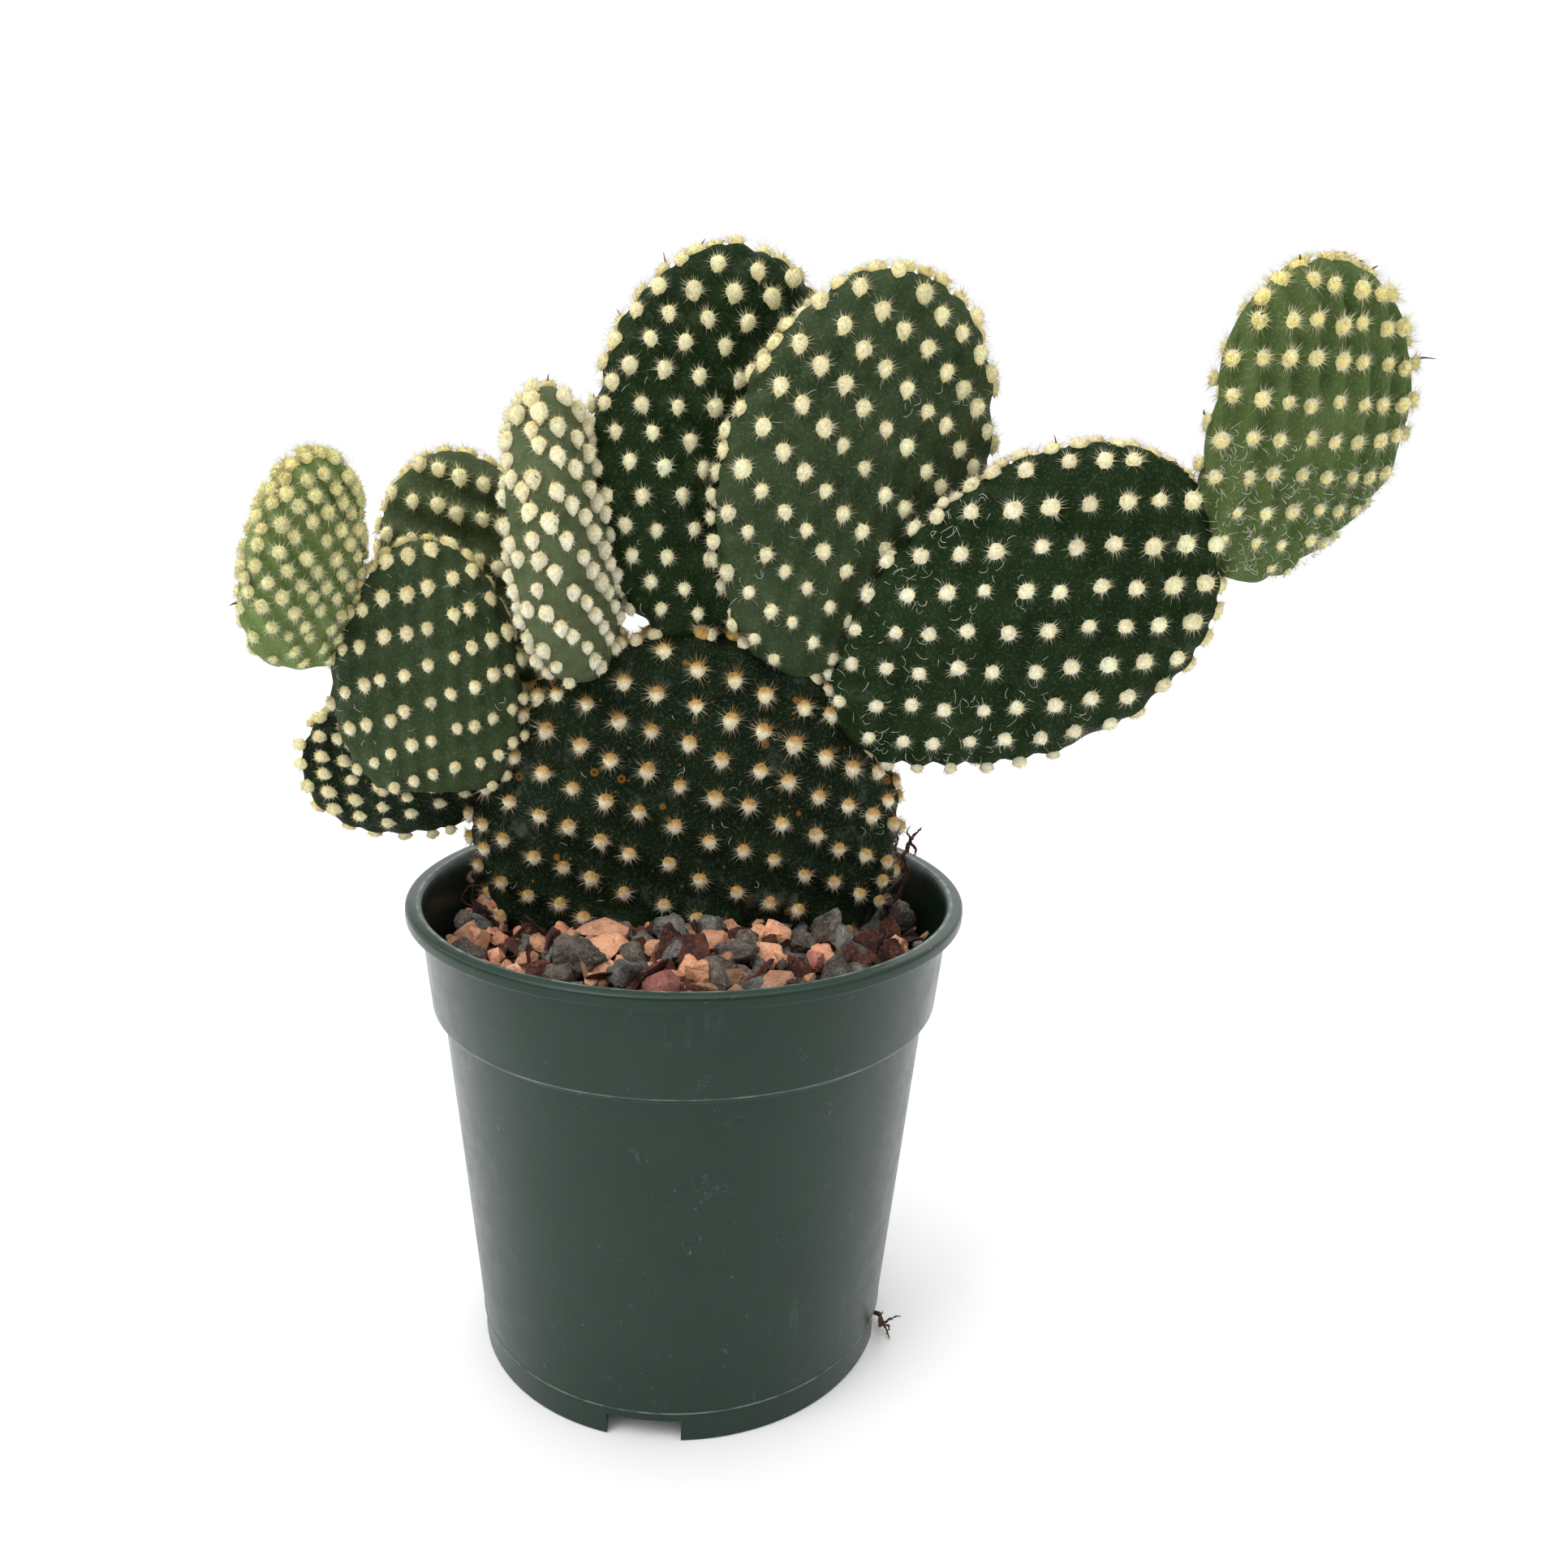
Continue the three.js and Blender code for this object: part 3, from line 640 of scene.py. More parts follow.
def scattered(count, spacing, radius):
    """Places in a circle, drawn at random, where each keeps a spacing from the ones before."""
    kept = np.empty((0, 2))
    for _ in range(count * 12):
        if len(kept) == count:
            break
        distance = radius * math.sqrt(seeded.uniform())
        turn = seeded.uniform(0, 2 * math.pi)
        place = distance * np.array([[math.cos(turn), math.sin(turn)]])
        if len(kept) == 0 or np.hypot(*(kept - place).T).min() > spacing:
            kept = np.vstack([kept, place])
    return kept


def random_turns(count):
    """Turning matrices for even random directions, from unit quaternions."""
    quaternions = seeded.normal(size=(4, count))
    w, x, y, z = quaternions / np.linalg.norm(quaternions, axis=0)
    return np.stack([
        np.stack([1 - 2 * (y * y + z * z), 2 * (x * y - z * w), 2 * (x * z + y * w)], -1),
        np.stack([2 * (x * y + z * w), 1 - 2 * (x * x + z * z), 2 * (y * z - x * w)], -1),
        np.stack([2 * (x * z - y * w), 2 * (y * z + x * w), 1 - 2 * (x * x + y * y)], -1),
    ], 1)


def grit_of_kind(kind, sort, places, sphere):
    """Loose stones at places on the mix: each a turned and scaled copy of one of a few
    broken shapes. Returns points, triangles and a shade for each point."""
    spec = STONE_KINDS[kind]
    shapes = np.stack([
        fitted(broken_stone(sphere[0], spec["planes"], spec["evenness"], spec["sharpness"]),
               GRIT_FLATNESS.get(kind, (1, 0.85, 0.75)))
        for _ in range(GRIT_VARIANTS)
    ])
    count = len(places)
    chosen = shapes[seeded.integers(GRIT_VARIANTS, size=count)]
    sizes = seeded.uniform(*sort["sizes"], count)
    turned_shapes = np.einsum("nij,nkj->nki", random_turns(count), chosen) * sizes[:, None, None]
    height = mix_height(np.hypot(*places.T)) + sizes * (0.5 - sort["sink"])
    centres = np.column_stack([places, height + seeded.uniform(0, 1.2, count)])
    points = (turned_shapes + centres[:, None]).reshape(-1, 3)
    faces = (sphere[1][None] + len(sphere[0]) * np.arange(count)[:, None, None]).reshape(-1, 3)
    shades = np.repeat(seeded.uniform(0, 1, count), len(sphere[0]))
    return points, faces, shades


coarse_sphere = sphere_mesh(2)
pea_sphere = sphere_mesh(3)
for sort, sphere in zip(GRIT_SORTS, (pea_sphere, coarse_sphere)):
    places = scattered(sort["count"], sort["spacing"], MIX_RADIUS - sort["sizes"][1] / 2)
    edges = np.cumsum([0] + [round(share * len(places)) for share in GRIT_SHARES.values()])
    sort_name = "pea" if sphere is pea_sphere else "fine"
    for kind, first, last in zip(GRIT_SHARES, edges, edges[1:]):
        points, faces, shades = grit_of_kind(kind, sort, places[first:last], sphere)
        grit = add_piece(f"{sort_name}_grit_{kind}", from_pot(points), faces,
                         stone_finishes[kind], sharp=40)
        set_shade(grit, shades)

# ---- Pads ----
# Ten fleshy pads, each a flat egg-shaped stem joint grown from the rim of an older one and
# joined to it over a small scar. Their skin is waxy and swells a little under every tuft of
# bristles. The two outermost pads are young and are ribbed along their rows of tufts.

PAD_ROWS = 130
PAD_AROUND = 200
BASE_ALONG = -3.8
BASE_HEIGHT = 66.5
# Powers of cosine and sine that shape a pad: lower than 1 is fuller than an ellipse.
RIM_ROUNDNESS = 0.75
END_ROUNDNESS = 0.6
FACE_ROUNDNESS = 0.9

# Each pad's outline, its lean to the right, its tip to the back and its turn about its own
# length, and where it sits: the pad it grew from, that pad's side and rim angle, and a shift.
# Its tufts stand in a grid on its face. steps are the two steps of that grid, across and
# along the pad, and start is one tuft's place. All in millimetres and degrees.
PADS = {
    "main_pad": dict(
        length=77, width=82, thick=16, taper=0.02, fullness=1, bow=0, lean=5.5, tip=0, turn=0,
        seat=None, steps=((-6.7, 1.8), (0.4, 8.0)), start=(-16.6, 45.9)),
    "top_back_pad": dict(
        length=73, width=48.5, thick=12, taper=0.07, fullness=1.07, bow=0, lean=7, tip=-6,
        turn=15, seat=("main_pad", 1, 180, (-2.5, 2.2, -2.6)),
        steps=((7.2, 0.7), (-3.4, 5.1)), start=(-8.6, 37.9)),
    "top_front_pad": dict(
        length=74, width=50, thick=12, taper=0, fullness=0.98, bow=-1.8, lean=13, tip=3,
        turn=18, seat=("main_pad", 1, 152, (0, 0, -1.2)),
        steps=((-4.9, 2.5), (1.6, 7.7)), start=(-7.3, 43)),
    "right_pad": dict(
        length=75.5, width=52.5, thick=13, taper=0.2, fullness=1.07, bow=0.4, lean=55.6, tip=8,
        turn=8, seat=("main_pad", 1, 136, (-2.6, -4.5, -2.4)),
        steps=((3.6, 5.9), (-5.3, 5.6)), start=(0.4, 41.9)),
    "far_right_pad": dict(
        length=54.5, width=47, thick=11, taper=0.21, fullness=1.11, bow=4.4, lean=11.3, tip=5,
        turn=25, seat=("right_pad", 1, 156, (4.6, 1.4, -0.4)),
        steps=((6.2, 1.1), (-1.9, 6.2)), start=(2.9, 40.1)),
    "edge_on_pad": dict(
        length=52, width=27.5, thick=13, taper=-0.38, fullness=0.93, bow=-1, lean=-7.8, tip=0,
        turn=72, seat=("main_pad", -1, 144, (1.9, -5, -2.6)),
        steps=((3.0, 5.6), (5.7, 2.9)), start=(-11.1, 26.1)),
    "left_back_pad": dict(
        length=56, width=31.5, thick=11, taper=0.07, fullness=0.98, bow=-0.6, lean=-13.5,
        tip=-13, turn=10, seat=("main_pad", -1, 116, (0.5, 3, -3.4)),
        steps=((5.8, 5.5), (-3.8, 2.2)), start=(0.7, 43.7)),
    "left_front_pad": dict(
        length=46, width=32.5, thick=12, taper=-0.21, fullness=0.87, bow=-0.9, lean=-1.7,
        tip=-2, turn=10, seat=("main_pad", -1, 96, (-5.8, -6.8, 0.9)),
        steps=((3.8, 1.3), (0.2, 7.0)), start=(0.3, 25.6)),
    "low_left_pad": dict(
        length=39, width=24.5, thick=11, taper=0.2, fullness=0.95, bow=0, lean=-82.5, tip=-4,
        turn=0, seat=("main_pad", -1, 98, (4.2, 2.4, -0.8)),
        steps=((3.4, 1.0), (0.6, 5.5)), start=(-2.5, 22.1)),
    "far_left_pad": dict(
        length=36, width=23.5, thick=11, taper=-0.26, fullness=0.63, bow=-2, lean=7.4, tip=0,
        turn=62, seat=("left_front_pad", -1, 94, (-4.6, -2.4, 0.7)),
        steps=((3.3, 2.4), (-2.3, 2.5)), start=(-6.9, 15.3)),
}

# How each pad's skin and tufts look. swell is the height of the swelling under a tuft, rib
# that of the ribs through them, and rim the spacing of the tufts round the rim, in millimetres.
PAD_LOOKS = {
    "main_pad": dict(skin="old_skin", tuft="golden_crowned", swell=1.2, rib=0, rim=3.3),
    "top_back_pad": dict(skin="dark_skin", tuft="ivory_drop", swell=1.5, rib=0.15, rim=3.5),
    "top_front_pad": dict(skin="dull_skin", tuft="ivory_drop", swell=1.4, rib=0.15, rim=3.5),
    "right_pad": dict(skin="dark_skin", tuft="ivory_ball", swell=1.4, rib=0.15, rim=3.8),
    "far_right_pad": dict(skin="young_skin", tuft="yellow_fuzz", swell=0.4, rib=0.65, rim=3.4),
    "edge_on_pad": dict(skin="pale_skin", tuft="ivory_cone", swell=0.7, rib=0.12, rim=3.0),
    "left_back_pad": dict(skin="ribbed_skin", tuft="ivory_drop", swell=0.9, rib=0.35, rim=3.2),
    "left_front_pad": dict(skin="dull_skin", tuft="ivory_small", swell=1.0, rib=0.2, rim=3.1),
    "low_left_pad": dict(skin="old_skin", tuft="ivory_small", swell=0.8, rib=0, rim=3.8),
    "far_left_pad": dict(skin="tender_skin", tuft="yellow_small", swell=0.5, rib=0.4, rim=2.3),
}


def outline_share(pad, angle):
    """Half width along the pad as a share of the widest: sin^fullness times (1 - taper cos),
    over its greatest value. angle runs from 0 at the base to pi at the tip."""
    def raw(at):
        return np.abs(np.sin(at)) ** pad["fullness"] * (1 - pad["taper"] * np.cos(at))
    return raw(angle) / raw(np.linspace(0, np.pi, 181)).max()


def signed_power(value, power):
    """The size of a value to a power, with the value's own sign."""
    return np.sign(value) * np.abs(value) ** power


def pad_point(pad, angle, around):
    """Points on the pad's surface in its own frame, base at the origin and tip up. around
    turns from 0 on the right rim to pi on the left: x = half width x cos to the rim's power +
    bow, y = half thickness x sin(angle) to the end's power x sin to the face's power, and z =
    length x (1 - cos(angle)) / 2."""
    across = signed_power(np.cos(around), RIM_ROUNDNESS)
    through = signed_power(np.sin(around), FACE_ROUNDNESS)
    x = pad["width"] / 2 * outline_share(pad, angle) * across
    y = pad["thick"] / 2 * np.abs(np.sin(angle)) ** END_ROUNDNESS * through
    z = pad["length"] * (1 - np.cos(angle)) / 2 + 0 * around
    return np.stack([x + pad["bow"] * np.sin(angle) ** 2 + 0 * z, y + 0 * z, z + 0 * x], -1)


def pad_turn(pad):
    """The pad's turning matrix: lean about y, after tip about x, after turn about z."""
    lean = Matrix.Rotation(math.radians(pad["lean"]), 3, "Y")
    tip = Matrix.Rotation(math.radians(pad["tip"]), 3, "X")
    turn = Matrix.Rotation(math.radians(pad["turn"]), 3, "Z")
    return np.array(lean @ tip @ turn)


def pad_base(name):
    """Where the pad's base is, from the foot of the pot's axis: on its parent's rim."""
    seat = PADS[name]["seat"]
    if seat is None:
        return np.array([BASE_ALONG, 0, BASE_HEIGHT])
    parent, side, angle, shift = seat
    angle = np.radians(angle)
    on_rim = pad_point(PADS[parent], angle, 0 if side > 0 else np.pi)
    return pad_base(parent) + pad_turn(PADS[parent]) @ on_rim + shift


def to_pot(name, points):
    """Points in the pad's own frame as points from the foot of the pot's axis."""
    return points @ pad_turn(PADS[name]).T + pad_base(name)


def pad_depth(name, points):
    """How deep points from the foot of the pot's axis are in a pad: below 1 is inside."""
    pad = PADS[name]
    x, y, z = ((points - pad_base(name)) @ pad_turn(pad)).T
    along = np.clip(1 - 2 * z / pad["length"], -0.9999, 0.9999)
    angle = np.arccos(along)
    half = pad["width"] / 2 * outline_share(pad, angle)
    across = np.abs(x - pad["bow"] * np.sin(angle) ** 2) / half
    through = np.abs(y) / (pad["thick"] / 2 * np.sin(angle) ** END_ROUNDNESS)
    inside = across ** (2 / RIM_ROUNDNESS) + through ** (2 / FACE_ROUNDNESS)
    return np.where((z < 0) | (z > pad["length"]), 9, inside)


# How much closer together tufts grow at the edge of a face than in its middle.
CROWDING = 0.15


def skin_lengths(pad):
    """Lengths on the skin, for laying tufts out: along the middle of a face from the base, at
    each angle, and from that middle line toward the rim, at each angle and around. They are
    stretched near the edges, so that evenly spaced tufts crowd together there."""
    angle = np.linspace(0, np.pi, 181)
    around = np.linspace(np.pi / 2, 0, 91)
    grid = pad_point(pad, angle[:, None], around[None])
    steps = np.linalg.norm(np.diff(grid, axis=1), axis=2)
    outward = np.hstack([np.zeros((len(angle), 1)), np.cumsum(steps, 1)])
    outward *= 1 + CROWDING * (outward / (outward[:, -1:] + 1e-9)) ** 2
    steps = np.linalg.norm(np.diff(grid[:, 0], axis=0), axis=1)
    upward = np.append(0, np.cumsum(steps))
    from_middle = upward / upward[-1] - 0.5
    upward = upward[-1] * (0.5 + from_middle * (1 + 3 * CROWDING * from_middle ** 2))
    return angle, around, outward, upward


def grid_start(pad):
    """The place of the grid's first tuft, as lengths on the skin across and up the face."""
    angle, _, _, upward = skin_lengths(pad)
    heights = pad["length"] * (1 - np.cos(angle)) / 2
    return pad["start"][0], np.interp(pad["start"][1], heights, upward)


def face_sites(pad, side):
    """The grid of tufts on one face, bent over the skin to the rim, as (angle, around) pairs.
    The back face has the front's mirror image."""
    angle, around, outward, upward = skin_lengths(pad)
    count = np.arange(-24, 25)
    first, second = (grid.ravel() for grid in np.meshgrid(count, count))
    (a_across, a_along), (b_across, b_along) = pad["steps"]
    start_across, start_along = grid_start(pad)
    across = start_across + first * a_across + second * b_across
    along = start_along + first * a_along + second * b_along
    across = (across + seeded.normal(0, 0.35, across.size)) * -side
    along = along + seeded.normal(0, 0.35, along.size)
    sites = []
    for u, w in zip(across, along):
        row = np.searchsorted(upward, w)
        if w > 3 and row < len(angle) and abs(u) <= outward[row, -1]:
            turn = np.interp(abs(u), outward[row], around)
            sites.append((np.interp(w, upward, angle), side * (turn if u > 0 else np.pi - turn)))
    return np.array(sites)


def rim_sites(pad):
    """Close places for tufts in rows along the rim and beside it, to be thinned out."""
    rows = []
    for row, offset in enumerate((0.08, -0.12, 0.42, -0.42, 0.8, -0.8)):
        for middle in (0, np.pi):
            around = middle + offset
            angle = np.linspace(0.12 * np.pi, 0.995 * np.pi, 400)
            line = pad_point(pad, angle, np.full(400, around))
            length = np.append(0, np.cumsum(np.linalg.norm(np.diff(line, axis=0), axis=1)))
            places = np.arange(length[-1], 0, -0.9) - 0.45 * (row % 2)
            at = np.interp(places[places > 0], length, angle)
            rows.append(np.stack([at, np.full(len(at), around)], -1))
    return np.vstack(rows)


def pad_frames(pad, sites):
    """Place, out direction and tipward direction on the surface at (angle, around) sites, by
    small steps along both parameters."""
    angle, around = sites.T
    here = pad_point(pad, angle, around)
    step = 0.01
    tipward = pad_point(pad, angle + step, around) - pad_point(pad, angle - step, around)
    sideways = pad_point(pad, angle, around + step) - pad_point(pad, angle, around - step)
    out = np.cross(sideways, tipward)
    out /= np.linalg.norm(out, axis=1)[:, None]
    tipward = np.array([0, 0, 1]) - out * out[:, 2:]
    flat = np.linalg.norm(tipward, axis=1) < 0.3
    tipward[flat] = np.array([0, -1, 0.0])
    tipward -= out * (out * tipward).sum(-1)[:, None]
    tipward /= np.linalg.norm(tipward, axis=1)[:, None]
    return here, out, tipward


def tuft_sites(name):
    """All of a pad's tuft sites: both faces, then the rim wherever there is room. Those that
    would be in another pad or in the potting mix are left out."""
    pad = PADS[name]
    rim = rim_sites(pad)
    offered = np.vstack([face_sites(pad, -1), face_sites(pad, 1), rim])
    places, out, _ = pad_frames(pad, offered)
    upward = (out @ pad_turn(pad).T)[:, 2]
    spacing = PAD_LOOKS[name]["rim"] * (1.15 - 0.32 * upward)
    on_face = np.arange(len(offered)) < len(offered) - len(rim)
    beside_rim = np.abs(np.sin(offered[:, 1])) > 0.5
    spacing *= np.where(on_face, 0.7, np.where(beside_rim, 1.25, 1))
    kept = []
    for index, place in enumerate(places):
        apart = np.linalg.norm(places[kept] - place, axis=1)
        if not kept or apart.min() > spacing[index]:
            kept.append(index)
    sites = offered[kept]
    standing = to_pot(name, places[kept])
    clear = standing[:, 2] > mix_height(np.hypot(*standing[:, :2].T)) + 1.5
    for other in PADS:
        if other != name:
            clear &= pad_depth(other, standing) > 1.1
    return sites[clear]


def ridges(pad, rings):
    """Height from -1 to 1 of ribs that run through the tufts along the grid's second step: the
    cosine of the count of first steps, faded out at the base and tip."""
    steps = np.linalg.norm(np.diff(rings, axis=1, append=rings[:, :1]), axis=2)
    turned = np.cumsum(steps, 1) - steps
    quarter = PAD_AROUND // 4
    across = turned - turned[:, [3 * quarter]]
    behind = turned[:, [quarter]] - turned
    across = np.where(np.arange(PAD_AROUND) < 2 * quarter, -behind, across)
    front = rings[:, 3 * quarter]
    steps = np.linalg.norm(np.diff(front, axis=0, prepend=front[:1]), axis=1)
    along = np.cumsum(steps)[:, None]
    (a_across, a_along), (b_across, b_along) = pad["steps"]
    start_across, start_along = grid_start(pad)
    count = (across - start_across) * b_along - (along - start_along) * b_across
    count = count / (a_across * b_along - a_along * b_across)
    fade = np.clip(np.sin(np.linspace(0, np.pi, len(rings))) * 2, 0, 1)[:, None]
    return np.cos(2 * np.pi * count) * fade


def pad_surface(name, tufts):
    """Points and triangles of a pad: its outline swept over a grid of angle and around,
    swollen by a rounded bump under each tuft. Returns too, from 0 to 1, a share of painted
    highlight on the swellings and rib crests, with ribbed pads paler towards the base."""
    pad = PADS[name]
    angle = np.linspace(0, np.pi, PAD_ROWS + 2)[1:-1]
    around = np.linspace(0, 2 * np.pi, PAD_AROUND, endpoint=False)
    sites = np.stack(np.meshgrid(angle, around, indexing="ij"), -1)
    rings = pad_point(pad, sites[..., 0], sites[..., 1])
    flat = sites.reshape(-1, 2)
    _, out, _ = pad_frames(pad, flat)
    near = np.full(len(flat), 99.0)
    for tuft in tufts:
        near = np.minimum(near, np.linalg.norm(rings.reshape(-1, 3) - tuft, axis=1))
    bump = np.exp(-(near / 2.5) ** 2)
    ridge = ridges(pad, rings).ravel()
    look = PAD_LOOKS[name]
    lift = look["swell"] * bump + look["rib"] * ridge + 0.35 * waves(rings.reshape(-1, 3), 24)
    rings = rings + (out * lift[:, None]).reshape(rings.shape)
    points, faces = capped_rings(rings, (0, 0, 0), (0, 0, pad["length"]))
    # Painted highlight: a share that lightens the skin on the swellings and along the rib
    # crests; ribbed pads are also paler towards the base.
    paler = 0.6 * np.clip(1 - 1.9 * rings[..., 2].ravel() / pad["length"], 0, 1)
    rib_crest_light = min(2 * look["rib"], 0.8) * (0.5 + 0.5 * ridge)
    light_and_pallor_share = 0.75 * np.exp(-(near / 3.2) ** 2) + rib_crest_light
    light_and_pallor_share = np.clip(light_and_pallor_share + paler * (look["rib"] > 0.05), 0, 1)
    return points, faces, np.concatenate([[0], light_and_pallor_share, [0]])


# Each skin: its main colour, its paler bloom, which also paints the highlight on the swellings
# and rib crests, its dust, and how much dust there is.
SKIN_TONES = {
    "old_skin": ((0.0014, 0.0050, 0.0009), (0.0088, 0.0185, 0.0062), (0.11, 0.13, 0.105), 0.6),
    "dark_skin": ((0.0018, 0.0076, 0.0009), (0.0130, 0.0280, 0.0080), (0.10, 0.13, 0.08), 0.35),
    "dull_skin": ((0.0095, 0.0215, 0.0060), (0.042, 0.064, 0.027), (0.14, 0.18, 0.12), 0.3),
    "ribbed_skin": ((0.008, 0.018, 0.0035), (0.054, 0.074, 0.028), (0.16, 0.19, 0.12), 0.3),
    "pale_skin": ((0.030, 0.053, 0.018), (0.098, 0.122, 0.058), (0.22, 0.25, 0.17), 0.3),
    "young_skin": ((0.0080, 0.0280, 0.002), (0.080, 0.120, 0.036), (0.23, 0.29, 0.15), 0.25),
    "tender_skin": ((0.027, 0.070, 0.007), (0.155, 0.215, 0.070), (0.30, 0.36, 0.20), 0.25),
}


def scarred(tree, colour, apart_mm, radius_mm):
    """The colour with a few round corky scars, orange-brown about a dark middle."""
    place = add_node(tree, "TexCoord").outputs["Object"]
    cells = add_node(tree, "TexVoronoi", {"Vector": place, "Scale": 1 / (apart_mm * MM)})
    kept = add_node(tree, "SeparateColor", {"Color": cells.outputs["Color"]}).outputs["Red"]
    chosen = between(tree, kept, 0.5, 0.52)
    edge = radius_mm / apart_mm
    ring = between(tree, cells.outputs["Distance"], 0.75 * edge, edge, 1, 0)
    share = worked(tree, "MULTIPLY", chosen, ring)
    heart = between(tree, cells.outputs["Distance"], 0.25 * edge, 0.5 * edge, 1, 0)
    brown = mixed(tree, heart, (0.20, 0.085, 0.016, 1), (0.055, 0.022, 0.008, 1))
    return mixed(tree, share, colour, brown)


def skin_finish(name):
    """Waxy green skin: two greens in soft patches, with a painted highlight in the paler green
    on the swellings and rib crests and a paler base on ribbed pads, pores, a fine speckle and
    dusty marks."""
    main, bloom_and_highlight, dust, dustiness = SKIN_TONES[name]
    finish, tree, shader = new_finish(name, Roughness=0.55, Specular_IOR_Level=0.05)
    swelling_light_and_pale_base = add_node(tree, "Attribute", attribute_name="swelling_light_and_pale_base").outputs["Fac"]
    patches = between(tree, noise(tree, 13, 4, 0.6), 0.36, 0.66)
    colour = mixed(tree, patches, main + (1,), bloom_and_highlight + (1,))
    # Painted highlight: the swellings and rib crests are lightened toward the bloom colour.
    light_and_pallor_share = between(tree, swelling_light_and_pale_base, 0, 1, 0, 0.8)
    colour = mixed(tree, light_and_pallor_share, colour, bloom_and_highlight + (1,))
    speckle = between(tree, noise(tree, 0.45, 2, 0.6), 0.52, 0.72, 0, 0.35)
    colour = mixed(tree, speckle, colour, dust + (1,))
    smears = between(tree, noise(tree, 7, 7, 0.72), 0.56, 0.74, 0, dustiness)
    colour = mixed(tree, smears, colour, dust + (1,))
    if name == "old_skin":
        colour = scarred(tree, colour, 6.5, 0.9)
        colour = scarred(tree, colour, 2.6, 0.3)
    tree.links.new(colour, shader.inputs["Base Color"])
    dull = between(tree, noise(tree, 6, 4), 0.35, 0.65, 0.48, 0.68)
    tree.links.new(dull, shader.inputs["Roughness"])
    bumped(tree, shader, noise(tree, 0.6, 3, 0.6), 0.07)
    bumped(tree, shader, noise(tree, 4, 4), 0.35)
    return finish


skin_finishes = {name: skin_finish(name) for name in SKIN_TONES}
pad_sites = {name: tuft_sites(name) for name in PADS}
for name, sites in pad_sites.items():
    points, faces, bump = pad_surface(name, pad_point(PADS[name], *sites.T))
    kind = "young_pad" if name in ("far_right_pad", "far_left_pad") else "grown_pad"
    skin = add_piece("fleshy_" + name, from_pot(to_pot(name, points)), faces,
                     skin_finishes[PAD_LOOKS[name]["skin"]], (name,))
    # The share of painted highlight, and the paler base, is stored on the skin's points.
    layer = skin.data.attributes.new("swelling_light_and_pale_base", "FLOAT", "POINT")
    layer.data.foreach_set("value", bump.astype(np.float32))

# ---- Tufts ----
# Every pore of the skin carries a dense cushion of short barbed bristles and wool, with finer
# longer bristles spread round its foot. A cushion is a rounded drop whose point is toward the
# pad's base, covered in short spikes.

# Each tuft: half width, half length and height of the cushion in millimetres, how far it is
# drawn out to a point, how far its bristles reach, how sharply its colour changes from the
# point through the middle to the crown, those colours, and its bristles' colours.
TUFTS = {
    "golden_crowned": dict(
        half=(1.5, 1.5, 1.4), point=0.3, reach=2.2, bristles=60, fuzz=60, split=1.6,
        low=(0.95, 0.91, 0.76), middle=(0.93, 0.84, 0.60), crown=(0.58, 0.37, 0.13),
        hair=(0.80, 0.70, 0.50), top_hair=(0.46, 0.29, 0.13)),
    "ivory_drop": dict(
        half=(1.42, 1.5, 1.4), point=0.35, reach=1.7, bristles=46, fuzz=64, split=0.6,
        low=(0.90, 0.84, 0.52), middle=(0.93, 0.89, 0.64), crown=(0.90, 0.83, 0.50),
        hair=(0.86, 0.82, 0.64), top_hair=(0.82, 0.74, 0.48)),
    "ivory_ball": dict(
        half=(1.5, 1.5, 1.4), point=0.2, reach=1.7, bristles=46, fuzz=66, split=0.6,
        low=(0.93, 0.88, 0.60), middle=(0.95, 0.91, 0.70), crown=(0.91, 0.84, 0.54),
        hair=(0.88, 0.84, 0.68), top_hair=(0.86, 0.80, 0.58)),
    "yellow_fuzz": dict(
        half=(1.4, 1.4, 1.2), point=0.1, reach=1.9, bristles=62, fuzz=76, split=0.6,
        low=(0.88, 0.82, 0.46), middle=(0.88, 0.79, 0.34), crown=(0.92, 0.88, 0.58),
        hair=(0.90, 0.87, 0.64), top_hair=(0.90, 0.86, 0.60)),
    "ivory_cone": dict(
        half=(1.45, 1.6, 1.6), point=0.35, reach=1.1, bristles=30, fuzz=62, split=0.7,
        low=(0.93, 0.90, 0.70), middle=(0.93, 0.90, 0.70), crown=(0.86, 0.78, 0.48),
        hair=(0.88, 0.84, 0.66), top_hair=(0.76, 0.66, 0.42)),
    "ivory_small": dict(
        half=(1.2, 1.3, 1.2), point=0.3, reach=1.0, bristles=34, fuzz=54, split=0.8,
        low=(0.90, 0.85, 0.58), middle=(0.92, 0.87, 0.60), crown=(0.78, 0.68, 0.36),
        hair=(0.84, 0.80, 0.62), top_hair=(0.70, 0.60, 0.36)),
    "yellow_small": dict(
        half=(1.18, 1.28, 1.05), point=0.1, reach=1.6, bristles=58, fuzz=90, split=0.6,
        low=(0.86, 0.85, 0.52), middle=(0.86, 0.83, 0.44), crown=(0.84, 0.80, 0.42),
        hair=(0.87, 0.87, 0.62), top_hair=(0.84, 0.82, 0.52)),
}
BRISTLE_RADIUS = 0.055
FUZZ_RADIUS = 0.1

SPIKE_FACES = np.array([[0, 2, 1], [0, 1, 3], [1, 2, 3], [2, 0, 3]])


